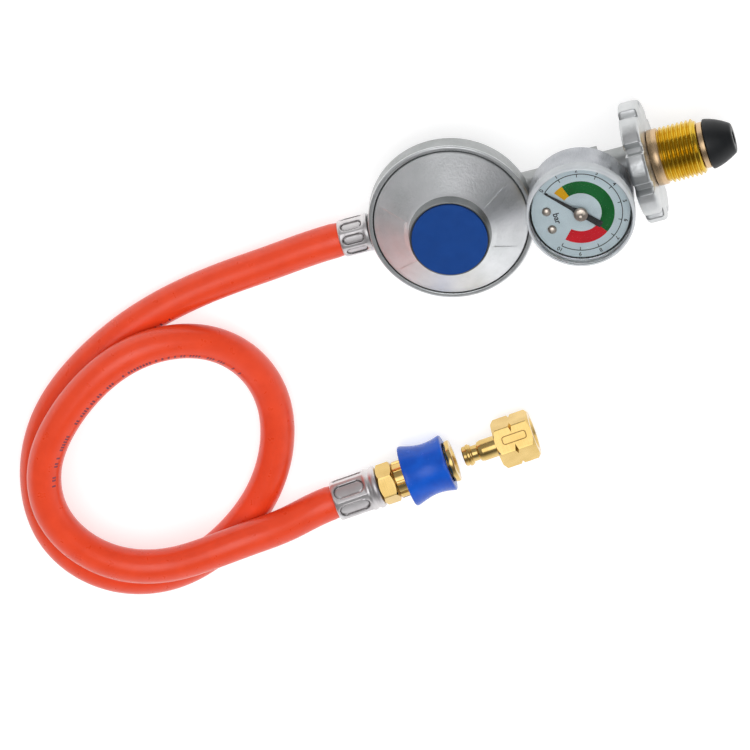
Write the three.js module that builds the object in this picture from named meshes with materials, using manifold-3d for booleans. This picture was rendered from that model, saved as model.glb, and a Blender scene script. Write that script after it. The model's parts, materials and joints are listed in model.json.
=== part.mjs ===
// Low-pressure propane regulator with a pressure gauge, a hand-tightened left-hand inlet, a rubber
// gas hose and a quick-release coupling with its tail plug.
//
// Millimetres, +Z up. The regulator lies on its back: the casing's back edge and the handwheel touch
// the floor at z = 0. The origin is on the floor under the middle of the regulator's box. The
// coupling's axis runs along +X. The regulator has a frame of its own, in which X is the inlet pipe's
// axis, pointing to the inlet, and Z is the casing's axis, pointing out of the blue cap.
import * as THREE from "three";
import { mergeVertices } from "three/addons/utils/BufferGeometryUtils.js";
import { NURBSCurve } from "three/addons/curves/NURBSCurve.js";
import Module from "manifold-3d";

const wasm = await Module();
wasm.setup();

// ---------------------------------------------------------------- driving dimensions
const GAP = 0.3; // between pieces that touch
const DEG = Math.PI / 180;

// How the regulator lies.
const CASING_X = -41;
const AXIS_HEIGHT = 17.63;
const TILT = 5.3 * DEG;
const YAW = -3 * DEG;

// Casing and cover, in the regulator's frame.
const FLANGE_R = 33.2;
const FLANGE_LOW = 3.2;
const FLANGE_TOP = 11.8;
const SEAM_R = 31.1;
const BACK_R = 15;
const BACK_Z = -16.3;
const CHAMBER_FLOOR = -13;
const LEDGE_Z = 6;
const CAP_R = 15.1;
const CAP_TOP = 28.6;

// Inlet pipe, wheel, thread and nose.
const ARM_R = 7.7;
const ARM_END = 74.4;
const WHEEL_R = 24.8;
const WHEEL_LOBES = 9;
const WHEEL_LEFT = 75.3;
const WHEEL_RIGHT = 82.9;
const WHEEL_PHASE = 16 * DEG; // the first lobe, from the casing's +Z towards +Y
const THREAD_R = 11.45; // G5/8 left hand
const THREAD_PITCH = 1.814;
const THREAD_LEFT = 88;
const THREAD_RIGHT = 103;
const NOSE_LEFT = 105.7;
const NOSE_RIGHT = 116.3;

// Gauge.
const GAUGE_X = 54;
const GAUGE_CASE_R = 20.8;
const GAUGE_CASE_LOW = 17.2;
const GAUGE_CASE_TOP = 33.2;
const LENS_R = 21.5;
const LENS_TOP = 39;
const DIAL_R = 19;
const DIAL_Z = 33;
const ZERO_ANGLE = 133.5 * DEG; // the dial's zero, from +X, counter-clockwise from the front
const SECTOR_DISTANCE = 9.1;

// Diaphragm valve.
const PLATE_Z = 5;
const LEVER_PIVOT_X = 14;
const LEVER_PIVOT_Z = -8.5;
const NOZZLE_SEAT_X = 14;

// Hose and crimped ferrules.
const HOSE_R = 7;
const HOSE_BORE_R = 4;
const CRIMPED_R = 6;
const FERRULE_BORE_R = 6.3;
const OUTLET_LEFT = -33.6;
const FERRULE_1_LEFT = -46.2;
const FERRULE_1_RIGHT = -33.9;
const FERRULE_1_R = 7.7;
const FERRULE_2_R = 8.85;

// Coupling: its own X starts at the coupling-end ferrule's mouth.
const COUPLING_X = -129.6;
const COUPLING_Y = -106.5;
const COUPLING_Z = 12.7;
const FERRULE_2_END = 19.3;
const TAIL_HEX_LEFT = 19.6;
const TAIL_HEX_RIGHT = 26.1;
const TAIL_HEX_FLATS = 15;
const TAIL_HEX_TURN = 15 * DEG;
const NECK_R = 7.7;
const SLEEVE_LEFT = 30.9;
const SLEEVE_RIGHT = 48.9;
const SLEEVE_RIM_R = 12.65;
const SLEEVE_WAIST_R = 10.65;
const SLEEVE_FRONT_R = 11.8;
const SLEEVE_BORE_R = 7.35;
const BODY_R = 7;
const SOCKET_R = 4.75;
const SOCKET_END = 38.2;
const MOUTH = 51.6;
const MOUTH_RING_R = 8.7;
const BALL_X = 44.1;
const BALL_R = 1.25;
const BALL_ORBIT = 5.9;
const BALLS = 4;
const PLUG_TIP = 55.6;
const PLUG_HEX_LEFT = 70.2;
const PLUG_HEX_RIGHT = 85.9;
const PLUG_HEX_FLATS = 18;
const PLUG_HEX_TURN = 30 * DEG;
const PLUG_THREAD_R = 5.7;

// The hose's centre line: control points of a clamped cubic B-spline, in the object's frame. It
// leaves the regulator, lies on the floor round one turn, climbs over itself, rides on its first
// turn and comes down to the coupling.
const HOSE_ROUTE = [
  [-87.6, 2.4, 13.3], [-98, 2.9, 12.3], [-116, 1.5, 10.5], [-132.5, 1, 8.5],
  [-149.5, 0, 7.5], [-168, -2.5, 7.1], [-186.5, -7.5, 7.1], [-204.5, -15.5, 7.1],
  [-221, -26, 7.1], [-234, -40.5, 7.1], [-242.5, -59, 7.1], [-245, -79.5, 7.1],
  [-238, -98, 7.1], [-224, -111, 7.1], [-206, -116.5, 7.1], [-187.5, -114, 7.1],
  [-169.5, -105.5, 7.1], [-154.5, -93.5, 7.1], [-143, -77, 7.1], [-137, -57.5, 7.1],
  [-139.5, -38, 9], [-149.5, -22, 13], [-165, -12.5, 18], [-183.5, -10.5, 21.5],
  [-202, -16.5, 22.5], [-220, -28.5, 22.5], [-234, -44, 22], [-239.5, -64.5, 21.5],
  [-234, -84.5, 20.5], [-220.5, -99.5, 20], [-202.5, -106.5, 20], [-184.5, -105.5, 22.5],
  [-166, -105, 22], [-150.5, -107.5, 17.5], [-138, -106.5, 12.7], [-130, -106.5, 12.7],
];
const HOSE_STEPS = 40;

// ---------------------------------------------------------------- materials
function finish(color, roughness, metalness) {
  return new THREE.MeshStandardMaterial({ color, roughness, metalness });
}

const zinc = finish(0xa3a7a8, 0.42, 0.85);
const steel = finish(0xc9ccce, 0.25, 0.95);
const brass = finish(0xd9b25f, 0.22, 1);
const bluePlastic = finish(0x2459c4, 0.25, 0);
const blueCap = finish(0x0e3e82, 0.6, 0);
const blackRubber = finish(0x1d1f21, 0.7, 0);
const hoseRubber = finish(0xee4623, 0.45, 0);
const dialWhite = finish(0xc6d4da, 0.6, 0);
const clear = new THREE.MeshStandardMaterial({
  color: 0xe6eef0,
  roughness: 0.08,
  metalness: 0,
  transparent: true,
  opacity: 0.3,
});
const pointerBlack = finish(0x17181a, 0.5, 0);

// ---------------------------------------------------------------- solids
function asManifold(geometry) {
  const bare = geometry.clone();
  bare.deleteAttribute("normal");
  bare.deleteAttribute("uv");
  const merged = mergeVertices(bare, 1e-4);
  const index = merged.index.array;
  const triangles = [];
  for (let i = 0; i < index.length; i += 3) {
    const [a, b, c] = [index[i], index[i + 1], index[i + 2]];
    if (a !== b && b !== c && c !== a) triangles.push(a, b, c);
  }
  const mesh = new wasm.Mesh({
    numProp: 3,
    vertProperties: new Float32Array(merged.attributes.position.array),
    triVerts: new Uint32Array(triangles),
  });
  return new wasm.Manifold(mesh);
}

function asGeometry(manifold) {
  const mesh = manifold.getMesh();
  const geometry = new THREE.BufferGeometry();
  geometry.setAttribute("position", new THREE.BufferAttribute(mesh.vertProperties, 3));
  geometry.setIndex(new THREE.BufferAttribute(mesh.triVerts, 1));
  return geometry;
}

function join(first, ...others) {
  const sum = others.reduce((total, other) => total.add(asManifold(other)), asManifold(first));
  return asGeometry(sum);
}

function cut(first, ...tools) {
  const rest = tools.reduce((left, tool) => left.subtract(asManifold(tool)), asManifold(first));
  return asGeometry(rest);
}

function common(first, second) {
  return asGeometry(asManifold(first).intersect(asManifold(second)));
}

// A turned solid. The profile is a list of [radius, height], counter-clockwise, and it starts and
// ends on the axis or is closed by the function.
function turned(profile, sides) {
  const points = profile.map(([radius, height]) => new THREE.Vector2(radius, height));
  const [first, last] = [points[0], points[points.length - 1]];
  if (first.x > 0 || last.x > 0) points.push(first.clone());
  return new THREE.LatheGeometry(points, sides);
}

function turnedZ(profile, sides = 20) {
  return turned(profile, sides).rotateX(Math.PI / 2);
}

// The same along X: the profile is a list of [x, radius], clockwise when x runs to the right.
function turnedX(profile, sides = 16) {
  const swapped = profile.map(([x, radius]) => [radius, x]);
  return turned(swapped, sides).rotateZ(-Math.PI / 2);
}

function rodX(radius, left, right, sides = 16) {
  return turnedX([[left, 0], [left, radius], [right, radius], [right, 0]], sides);
}

function rodZ(radius, low, top, sides = 16) {
  return turnedZ([[0, low], [radius, low], [radius, top], [0, top]], sides);
}

function rodY(radius, near, far, sides = 12) {
  return rodZ(radius, near, far, sides).rotateX(-Math.PI / 2);
}

function pipeX(outer, inner, left, right, sides = 16) {
  return turnedX([[left, inner], [left, outer], [right, outer], [right, inner]], sides);
}

function pipeZ(outer, inner, low, top, sides = 16) {
  return turnedZ([[inner, low], [outer, low], [outer, top], [inner, top]], sides);
}

function block(x0, x1, y0, y1, z0, z1) {
  const box = new THREE.BoxGeometry(x1 - x0, y1 - y0, z1 - z0);
  return box.translate((x0 + x1) / 2, (y0 + y1) / 2, (z0 + z1) / 2);
}

function extrudedZ(shape, low, top) {
  const solid = new THREE.ExtrudeGeometry(shape, { depth: top - low, bevelEnabled: false });
  return solid.translate(0, 0, low);
}

// Turns a solid extruded along Z, drawn in X and Y, into one along X, drawn in Y and Z.
function towardsX(geometry) {
  const along = new THREE.Vector3(1, 0, 0);
  const across = new THREE.Vector3(0, 1, 0);
  const up = new THREE.Vector3(0, 0, 1);
  return geometry.applyMatrix4(new THREE.Matrix4().makeBasis(across, up, along));
}

function polygon(count, radius, start = 0) {
  const corners = [];
  for (let i = 0; i < count; i++) {
    const angle = start + (i * 2 * Math.PI) / count;
    corners.push(new THREE.Vector2(radius * Math.cos(angle), radius * Math.sin(angle)));
  }
  return new THREE.Shape(corners);
}

// A hexagonal prism along X with its corners chamfered at both ends. A flat faces the turn, from +Z
// towards +Y.
function hexX(flats, left, right, chamfer, turn) {
  const corner = flats / Math.sqrt(3);
  const prism = towardsX(extrudedZ(polygon(6, corner, Math.PI / 3 - turn), left, right));
  const over = corner + 1;
  const cone = turnedX([
    [left - 1, 0],
    [left - 0.001, flats / 2],
    [left + chamfer, corner],
    [left + chamfer, over],
    [right - chamfer, over],
    [right - chamfer, corner],
    [right + 0.001, flats / 2],
    [right + 1, 0],
  ], 18);
  return common(prism, cone);
}

// A coil spring along Z.
function coil(radius, wire, low, top, turns, stepsPerTurn = 10) {
  const points = [];
  const steps = turns * stepsPerTurn;
  for (let i = 0; i <= steps; i++) {
    const angle = (i / stepsPerTurn) * 2 * Math.PI;
    const height = low + ((top - low) * i) / steps;
    points.push(new THREE.Vector3(radius * Math.cos(angle), radius * Math.sin(angle), height));
  }
  const path = new THREE.CatmullRomCurve3(points);
  return new THREE.ExtrudeGeometry(polygon(5, wire), {
    steps,
    extrudePath: path,
    bevelEnabled: false,
  });
}

function piece(name, geometry, material) {
  const mesh = new THREE.Mesh(geometry, material);
  mesh.name = name;
  return mesh;
}

// ---------------------------------------------------------------- casing and cover
// The die-cast lower casing: a bowl whose rim folds up round the cover, the outlet boss, the inlet
// arm, the gauge block and the two ears that hold the lever's pin.
function lowerCasing() {
  const outside = turnedZ([
    [0, BACK_Z],
    [BACK_R, BACK_Z],
    [19.5, -14.2],
    [24.5, -9.7],
    [28.6, -3.5],
    [30.2, 1.2],
    [FLANGE_R, FLANGE_LOW],
    [FLANGE_R, FLANGE_TOP - 0.8],
    [FLANGE_R - 0.8, FLANGE_TOP],
    [0, FLANGE_TOP],
  ], 28);
  const chamber = turnedZ([
    [0, CHAMBER_FLOOR],
    [14, CHAMBER_FLOOR],
    [17, -12.3],
    [21.8, -8.6],
    [25.8, -3.2],
    [27.3, 1],
    [27.3, LEDGE_Z],
    [SEAM_R, LEDGE_Z],
    [SEAM_R, FLANGE_TOP + 1],
    [0, FLANGE_TOP + 1],
  ], 28);
  const arm = rodX(ARM_R, 24, ARM_END);
  const boss = rodX(6.9, OUTLET_LEFT, -23);
  const half = 8;
  const flatBlock = block(GAUGE_X - half, GAUGE_X + half, -half, half, -half, half);
  const ears = [-1, 1].map((side) => block(11, 17, side * 5.6 - 1.4, side * 5.6 + 1.4, -14, -6));
  const shell = cut(join(outside, arm, boss, flatBlock), chamber);
  return cut(
    join(shell, ...ears),
    rodX(4.8, 20, 30),
    rodX(2.6, 29, 67),
    rodX(6.3, 65, 76),
    rodX(4.6, OUTLET_LEFT - 1, -24.2),
    rodX(2.6, -25, -20),
    rodZ(5.3, 3.2, 9).translate(GAUGE_X, 0, 0),
    rodZ(1.5, 0, 4, 12).translate(GAUGE_X, 0, 0),
    rodY(1.5, -8, 8).translate(LEVER_PIVOT_X, 0, LEVER_PIVOT_Z),
  );
}

// The conical cover with the boss that holds the spring and its adjusting screw.
function upperCover() {
  const rim = SEAM_R - GAP;
  return turnedZ([
    [27.6, 7.7],
    [rim, 7.7],
    [rim, 11.4],
    [30.2, 12.2],
    [17.6, 21.7],
    [16.5, 22.7],
    [15.95, 27.5],
    [CAP_R + GAP, 27.5],
    [CAP_R + GAP, 26.3],
    [12.3, 26.3],
    [12.3, 21],
    [15.3, 21],
    [27.6, 11.2],
  ], 28);
}

function centerCap() {
  return turnedZ([
    [0, 26.6],
    [CAP_R, 26.6],
    [CAP_R, CAP_TOP - 0.4],
    [CAP_R - 0.4, CAP_TOP],
    [0, CAP_TOP],
  ], 24);
}

function adjustingScrew() {
  const screw = turnedZ([
    [0, 20.2],
    [7, 20.2],
    [7, 22],
    [12, 22],
    [12, 26],
    [0, 26],
  ], 20);
  const slot = block(-9, 9, -1, 1, 24.4, 27);
  return cut(screw, slot);
}

// ---------------------------------------------------------------- diaphragm valve
function diaphragm() {
  const z = LEDGE_Z + GAP;
  return turnedZ([
    [1.8, 3.9],
    [19, 3.9],
    [23, 4.6],
    [26.4, z - 0.4],
    [27.6, z],
    [30.7, z],
    [30.7, z + 1],
    [27.2, z + 1],
    [25.8, z + 0.5],
    [23, 5.4],
    [19, 4.7],
    [1.8, 4.7],
  ], 22);
}

// The metal plate on the diaphragm.
function diaphragmPlate() {
  return turnedZ([
    [1.5, PLATE_Z],
    [17, PLATE_Z],
    [17.6, PLATE_Z + 1.6],
    [16.8, PLATE_Z + 1.6],
    [16.4, PLATE_Z + 0.9],
    [1.5, PLATE_Z + 0.9],
  ], 20);
}

// The stem pulls the lever's eye from below with its head.
function diaphragmStem() {
  return turnedZ([
    [0, -11.6],
    [2.6, -11.6],
    [2.6, -10.3],
    [1.2, -10.1],
    [1.2, PLATE_Z + 1.2],
    [3.2, PLATE_Z + 1.2],
    [3.2, PLATE_Z + 2.4],
    [0, PLATE_Z + 2.4],
  ], 12);
}

// A bell crank: the eye round the diaphragm's stem, the finger behind the valve holder, and the hub.
function lever() {
  const z = LEVER_PIVOT_Z;
  const outline = new THREE.Shape();
  outline.moveTo(-3.2, z - 0.8);
  outline.lineTo(6, z - 0.8);
  outline.lineTo(LEVER_PIVOT_X, z - 2.4);
  outline.absarc(LEVER_PIVOT_X, z, 2.4, -Math.PI / 2, Math.PI / 2 - 0.3, false);
  outline.lineTo(7.4, z + 0.8);
  outline.lineTo(7.4, 1.5);
  outline.lineTo(5.9, 1.5);
  outline.lineTo(5.9, z + 0.8);
  outline.lineTo(-3.2, z + 0.8);
  outline.closePath();
  const halfWidth = 3.4;
  const upright = new THREE.ExtrudeGeometry(outline, {
    depth: 2 * halfWidth,
    bevelEnabled: false,
    curveSegments: 8,
  });
  const plate = upright.rotateX(Math.PI / 2).translate(0, halfWidth, 0);
  return cut(
    plate,
    rodZ(1.9, z - 3, z + 3, 16),
    rodY(1.5, -5, 5).translate(LEVER_PIVOT_X, 0, z),
  );
}

function leverPin() {
  return rodY(1.2, -6.9, 6.9, 12).translate(LEVER_PIVOT_X, 0, LEVER_PIVOT_Z);
}

// The valve's nozzle, pressed into the end of the inlet passage, with a raised seat.
function inletNozzle() {
  return turnedX([
    [NOZZLE_SEAT_X, 1.2],
    [NOZZLE_SEAT_X, 1.9],
    [NOZZLE_SEAT_X + 0.8, 2.9],
    [NOZZLE_SEAT_X + 1.2, 3.5],
    [27.6, 3.5],
    [27.6, 4.4],
    [29.7, 4.4],
    [29.7, 1.2],
  ], 20);
}

function valveHolder() {
  return turnedX([
    [7.8, 0],
    [7.8, 3.5],
    [12.3, 3.5],
    [12.3, 3],
    [10.4, 3],
    [10.4, 0],
  ], 20);
}

function valvePad() {
  return rodX(2.7, 10.7, 12.5, 20);
}

// ---------------------------------------------------------------- gauge, round its own axis
function gaugeSocket() {
  const stem = turnedZ([
    [0, 4.2],
    [4.4, 4.2],
    [5, 4.8],
    [5, 9.2],
    [6.9, 9.2],
    [6.9, 10],
    [4.6, 10],
    [4.6, 21.8],
    [0, 21.8],
  ], 20);
  const hex = extrudedZ(polygon(6, 14 / Math.sqrt(3)), 10, 16.6);
  const holder = block(0, 15, -2.4, 2.4, 19, 21.8);
  const arm = holder.rotateZ(-60 * DEG);
  return cut(join(stem, hex, arm), rodZ(1.2, 3, 20.5, 10));
}

function gaugeGasket() {
  return pipeZ(6.8, 5.5, 8.3, 8.9, 20);
}

function gaugeCase() {
  const wall = 1.2;
  const low = GAUGE_CASE_LOW;
  return turnedZ([
    [4.95, low],
    [GAUGE_CASE_R - 1, low],
    [GAUGE_CASE_R, low + 1],
    [GAUGE_CASE_R, GAUGE_CASE_TOP],
    [GAUGE_CASE_R - wall, GAUGE_CASE_TOP],
    [GAUGE_CASE_R - wall, low + wall],
    [4.95, low + wall],
  ], 26);
}

// The clear lens: a window with a wall that stands on the case's rim.
function gaugeLens() {
  const inner = LENS_R - 1.4;
  return turnedZ([
    [0, LENS_TOP - 1.5],
    [inner, LENS_TOP - 1.5],
    [inner, GAUGE_CASE_TOP + GAP],
    [LENS_R, GAUGE_CASE_TOP + GAP],
    [LENS_R, LENS_TOP - 0.9],
    [LENS_R - 0.9, LENS_TOP],
    [0, LENS_TOP],
  ], 26);
}

const DIAL_SCREW_ORBIT = 13.2;
const DIAL_SCREW_ANGLES = [163 * DEG, 197 * DEG];

function aroundDial(geometry, orbit, angle) {
  return geometry.translate(orbit * Math.cos(angle), orbit * Math.sin(angle), 0);
}

function gaugeDial() {
  const plate = pipeZ(DIAL_R, 1, DIAL_Z, DIAL_Z + 0.6, 28);
  const holes = DIAL_SCREW_ANGLES.map((angle) => {
    return aroundDial(rodZ(1.2, DIAL_Z - 1, DIAL_Z + 2, 10), DIAL_SCREW_ORBIT, angle);
  });
  return cut(plate, ...holes);
}

function dialScrew(angle) {
  const head = DIAL_Z + 0.6 + GAP;
  const screw = turnedZ([
    [0, 31.3],
    [0.8, 31.3],
    [0.8, head],
    [1.75, head],
    [1.5, head + 0.6],
    [0.8, head + 1],
    [0, head + 1.1],
  ], 12);
  return aroundDial(screw, DIAL_SCREW_ORBIT, angle);
}

// The C-shaped pressure tube, from the socket's holder round to its free tip.
function bourdonTube() {
  const orbit = 13.6;
  const points = [];
  const count = 12;
  for (let i = 0; i <= count; i++) {
    const angle = (-60 - (i * 240) / count) * DEG;
    points.push(new THREE.Vector3(orbit * Math.cos(angle), orbit * Math.sin(angle), 25));
  }
  const section = new THREE.Shape();
  section.absellipse(0, 0, 2.4, 0.9, 0, 2 * Math.PI, false, 0);
  return new THREE.ExtrudeGeometry(section, {
    steps: 16,
    curveSegments: 4,
    extrudePath: new THREE.CatmullRomCurve3(points),
    bevelEnabled: false,
  });
}

// Two plates and two pillars that carry the pointer's shaft and the sector gear.
function movementFrame() {
  const lower = block(-11, 3, -4.2, 4.2, 23.6, 24.4);
  const upper = block(-14.6, 3, -5, 5, 30.2, 31);
  const corners = [[2, -3.3], [2, 3.3], [-10, -3.3], [-10, 3.3]];
  const pillars = corners.map(([x, y]) => rodZ(0.8, 24, 30.6, 8).translate(x, y, 0));
  return cut(
    join(lower, upper, ...pillars),
    rodZ(0.9, 23, 32, 12),
    rodZ(0.9, 23, 32, 12).translate(-SECTOR_DISTANCE, 0, 0),
  );
}

function pointerShaft() {
  return turnedZ([
    [0, 23],
    [0.55, 23],
    [0.55, 27],
    [0.8, 27],
    [0.8, 29],
    [0.55, 29],
    [0.55, DIAL_Z + 2.9],
    [0, DIAL_Z + 2.9],
  ], 12);
}

function pointer() {
  const low = DIAL_Z + 1.6;
  const blade = new THREE.Shape();
  blade.moveTo(-9.3, -1.1);
  blade.lineTo(-3, -0.9);
  blade.lineTo(0, -2);
  blade.lineTo(3, -0.7);
  blade.lineTo(15.5, -0.35);
  blade.lineTo(16.5, 0);
  blade.lineTo(15.5, 0.35);
  blade.lineTo(3, 0.7);
  blade.lineTo(0, 2);
  blade.lineTo(-3, 0.9);
  blade.lineTo(-9.3, 1.1);
  blade.closePath();
  return cut(extrudedZ(blade, low, low + 0.4), rodZ(0.85, low - 1, low + 1, 12)).rotateZ(ZERO_ANGLE);
}

function pointerCap() {
  const low = DIAL_Z + 2.3;
  const dome = turnedZ([
    [0, low + 0.9],
    [0.85, low + 0.9],
    [0.85, low],
    [2.8, low],
    [2.8, low + 0.7],
    [2.2, low + 1.3],
    [0, low + 1.5],
  ], 16);
  return dome;
}

// The toothed sector turns on its own staff; its teeth are left smooth, and it clears the pinion.
function sectorGear() {
  const radius = SECTOR_DISTANCE - 0.8 - GAP;
  const outline = new THREE.Shape();
  outline.moveTo(-2.2, 0.8);
  outline.lineTo(-2.2, -0.8);
  outline.lineTo(0, -1.3);
  outline.lineTo(radius * Math.cos(-37 * DEG), radius * Math.sin(-37 * DEG));
  outline.absarc(0, 0, radius, -37 * DEG, 10 * DEG, false);
  outline.lineTo(0, 1.3);
  outline.closePath();
  const web = new THREE.ExtrudeGeometry(outline, {
    depth: 1.2,
    bevelEnabled: false,
    curveSegments: 6,
  });
  const staff = rodZ(0.6, 23, 31.4, 12);
  return join(web.translate(0, 0, 27.4), staff).translate(-SECTOR_DISTANCE, 0, 0);
}

// The link from the sector's tail to the pressure tube's tip.
function sectorLink() {
  return block(-5.4, -1.6, -0.6, 0.6, 28.9, 29.6).translate(-SECTOR_DISTANCE, 0, 0);
}

// ---------------------------------------------------------------- inlet: wheel, thread and nose
// The die-cast wheel: wide lobes with narrow notches between them.
function wheelOutline() {
  const points = [];
  const step = (2 * Math.PI) / WHEEL_LOBES;
  const notch = WHEEL_R - 3.2;
  const polar = (radius, angle) => [radius * Math.sin(angle), radius * Math.cos(angle)];
  for (let i = 0; i < WHEEL_LOBES; i++) {
    const middle = WHEEL_PHASE + i * step;
    const corners = [
      [notch + 0.4, -0.43 * step],
      [WHEEL_R - 0.8, -0.37 * step],
      [WHEEL_R - 0.1, -0.32 * step],
      [WHEEL_R, -0.15 * step],
      [WHEEL_R, 0.15 * step],
      [WHEEL_R - 0.1, 0.32 * step],
      [WHEEL_R - 0.8, 0.37 * step],
      [notch + 0.4, 0.43 * step],
      [notch, 0.5 * step],
    ];
    for (const [radius, offset] of corners) {
      const [y, z] = polar(radius, middle + offset);
      points.push(new THREE.Vector2(y, z));
    }
  }
  return new THREE.Shape(points);
}

function handwheel() {
  const disc = towardsX(extrudedZ(wheelOutline(), WHEEL_LEFT, WHEEL_RIGHT));
  const hub = rodX(13, WHEEL_LEFT, WHEEL_LEFT + 1);
  const dish = turnedX([
    [WHEEL_LEFT - 1, 13.5],
    [WHEEL_LEFT - 1, 18.5],
    [WHEEL_LEFT + 1.6, 17.5],
    [WHEEL_LEFT + 1.6, 14.5],
  ], 28);
  return cut(join(disc, hub), dish, rodX(9.7, WHEEL_LEFT - 2, WHEEL_RIGHT + 2, 28));
}

// The male nut: a collar against the wheel and a left-hand gas thread, drawn as rings.
function threadedSleeve() {
  const root = THREAD_R - 1.1;
  const profile = [
    [WHEEL_LEFT + 0.6, 7.4],
    [WHEEL_LEFT + 0.6, 9.4],
    [WHEEL_RIGHT + GAP, 9.4],
    [WHEEL_RIGHT + GAP, 11.35],
    [87.2, 11.35],
    [87.4, root],
  ];
  for (let x = THREAD_LEFT; x < THREAD_RIGHT - THREAD_PITCH; x += THREAD_PITCH) {
    profile.push([x, root]);
    profile.push([x + THREAD_PITCH / 2, THREAD_R]);
  }
  profile.push([THREAD_RIGHT - 0.8, root]);
  profile.push([THREAD_RIGHT, root - 0.9]);
  profile.push([THREAD_RIGHT, 7.4]);
  return turnedX(profile, 16);
}

// The inlet spigot: it screws into the arm, the nut turns round it, and its shoulder drives the nose
// into the cylinder valve.
function inletSpigot() {
  return turnedX([
    [67, 2.6],
    [67, 5.4],
    [68, 6],
    [ARM_END + 0.1, 6],
    [ARM_END + 0.3, 7],
    [103.3, 7],
    [103.3, 9.3],
    [105.4, 9.3],
    [105.4, 5],
    [113, 5],
    [113, 2.6],
  ], 18);
}

// The rubber bullnose that seals in the valve.
function bullnoseSeal() {
  return turnedX([
    [NOSE_LEFT, 5.3],
    [NOSE_LEFT, 10.1],
    [106.6, 10.1],
    [108.5, 9.65],
    [110.9, 8.8],
    [113.4, 7.6],
    [115.9, 6.1],
    [NOSE_RIGHT, 5.4],
    [NOSE_RIGHT, 2.7],
    [113.3, 2.7],
    [113.3, 5.3],
  ], 22);
}

// ---------------------------------------------------------------- outlet, ferrules and hose
// A hose tail with rounded barbs, between two places along X.
function barbs(left, right, step) {
  const profile = [];
  for (let x = left; x < right - step; x += step) {
    profile.push([x, 3.2], [x + step * 0.7, 3.6], [x + step * 0.85, 3.6]);
  }
  return profile;
}

function outletTail() {
  const bore = 2.4;
  return turnedX([
    [FERRULE_1_LEFT + 1.4, bore],
    [FERRULE_1_LEFT + 1.4, 3],
    ...barbs(FERRULE_1_LEFT + 2, FERRULE_1_RIGHT - 1, 3.4),
    [FERRULE_1_RIGHT - 1, 3.6],
    [FERRULE_1_RIGHT, 4.3],
    [-24.6, 4.3],
    [-24.6, bore],
  ], 12);
}

function ferruleRegulatorEnd() {
  return turnedX([
    [FERRULE_1_LEFT, FERRULE_BORE_R],
    [FERRULE_1_LEFT, FERRULE_1_R - 0.5],
    [FERRULE_1_LEFT + 0.8, FERRULE_1_R],
    [FERRULE_1_RIGHT - 0.6, FERRULE_1_R],
    [FERRULE_1_RIGHT, FERRULE_1_R - 0.4],
    [FERRULE_1_RIGHT, 4.6],
    [FERRULE_1_RIGHT - 1, 4.6],
    [FERRULE_1_RIGHT - 1, FERRULE_BORE_R],
  ], 18);
}

function ferruleCouplingEnd() {
  const right = FERRULE_2_END;
  return turnedX([
    [0, FERRULE_BORE_R],
    [0, 7.9],
    [1.2, 8.5],
    [15.6, 8.6],
    [16.4, 8.1],
    [17.2, FERRULE_2_R],
    [right - 0.8, FERRULE_2_R],
    [right, 8.2],
    [right, 4.6],
    [right - 1.2, 4.6],
    [right - 1.2, FERRULE_BORE_R],
  ], 18);
}

function hoseCurve() {
  const degree = 3;
  const count = HOSE_ROUTE.length;
  const controls = HOSE_ROUTE.map(([x, y, z]) => new THREE.Vector4(x, y, z, 1));
  const knots = [];
  for (let i = 0; i < count + degree + 1; i++) {
    knots.push(Math.min(Math.max(i - degree, 0), count - degree) / (count - degree));
  }
  return new NURBSCurve(degree, knots, controls);
}

// A free hose, squeezed to a smaller diameter in each ferrule.
function hose() {
  const section = polygon(10, HOSE_R);
  section.holes.push(polygon(6, HOSE_BORE_R));
  const free = new THREE.ExtrudeGeometry(section, {
    steps: HOSE_STEPS,
    extrudePath: hoseCurve(),
    bevelEnabled: false,
  });
  const regulatorEnd = pipeX(CRIMPED_R, HOSE_BORE_R + 0.1, FERRULE_1_LEFT - 1.2, FERRULE_1_RIGHT - 1.3, 10);
  regulatorEnd.applyMatrix4(regulatorMatrix());
  const couplingEnd = pipeX(CRIMPED_R, HOSE_BORE_R + 0.1, -1.2, FERRULE_2_END - 1.5, 10);
  couplingEnd.translate(COUPLING_X, COUPLING_Y, COUPLING_Z);
  return join(free, regulatorEnd, couplingEnd);
}

// ---------------------------------------------------------------- coupling
// The hose tail with the hexagon that the spanner holds.
function couplingTail() {
  const bore = 2.4;
  const tail = turnedX([
    [2, bore],
    [2, 3],
    ...barbs(2.6, 17, 3.8),
    [17, 3.6],
    [TAIL_HEX_LEFT + 1, 3.6],
    [TAIL_HEX_LEFT + 1, 4.9],
    [29.2, 4.9],
    [29.2, bore],
  ], 12);
  const hex = hexX(TAIL_HEX_FLATS, TAIL_HEX_LEFT, TAIL_HEX_RIGHT, 0.8, TAIL_HEX_TURN);
  return cut(join(hex, tail), rodX(bore, 0, 31, 16));
}

// The brass body: a neck, the spring's shoulder, the socket for the plug and the four ball holes.
function couplingBody() {
  const body = turnedX([
    [TAIL_HEX_RIGHT + GAP, 5.2],
    [TAIL_HEX_RIGHT + GAP, NECK_R - 0.4],
    [TAIL_HEX_RIGHT + 0.7, NECK_R],
    [31.8, NECK_R],
    [31.8, BODY_R],
    [50, BODY_R],
    [50, SOCKET_R],
    [40.8, SOCKET_R],
    [40.8, 5.9],
    [39.2, 5.9],
    [39.2, SOCKET_R],
    [SOCKET_END, SOCKET_R],
    [SOCKET_END, 3.4],
    [37.2, 3.4],
    [36.8, 5.2],
  ], 20);
  const holes = [];
  for (let i = 0; i < BALLS; i++) {
    const hole = rodZ(BALL_R + 0.25, 3.5, 8, 8).rotateX((45 + i * 90) * DEG);
    holes.push(hole.translate(BALL_X, 0, 0));
  }
  return cut(body, ...holes);
}

function couplingSeal() {
  return pipeX(5.6, 4.42, 39.4, 40.6);
}

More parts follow.
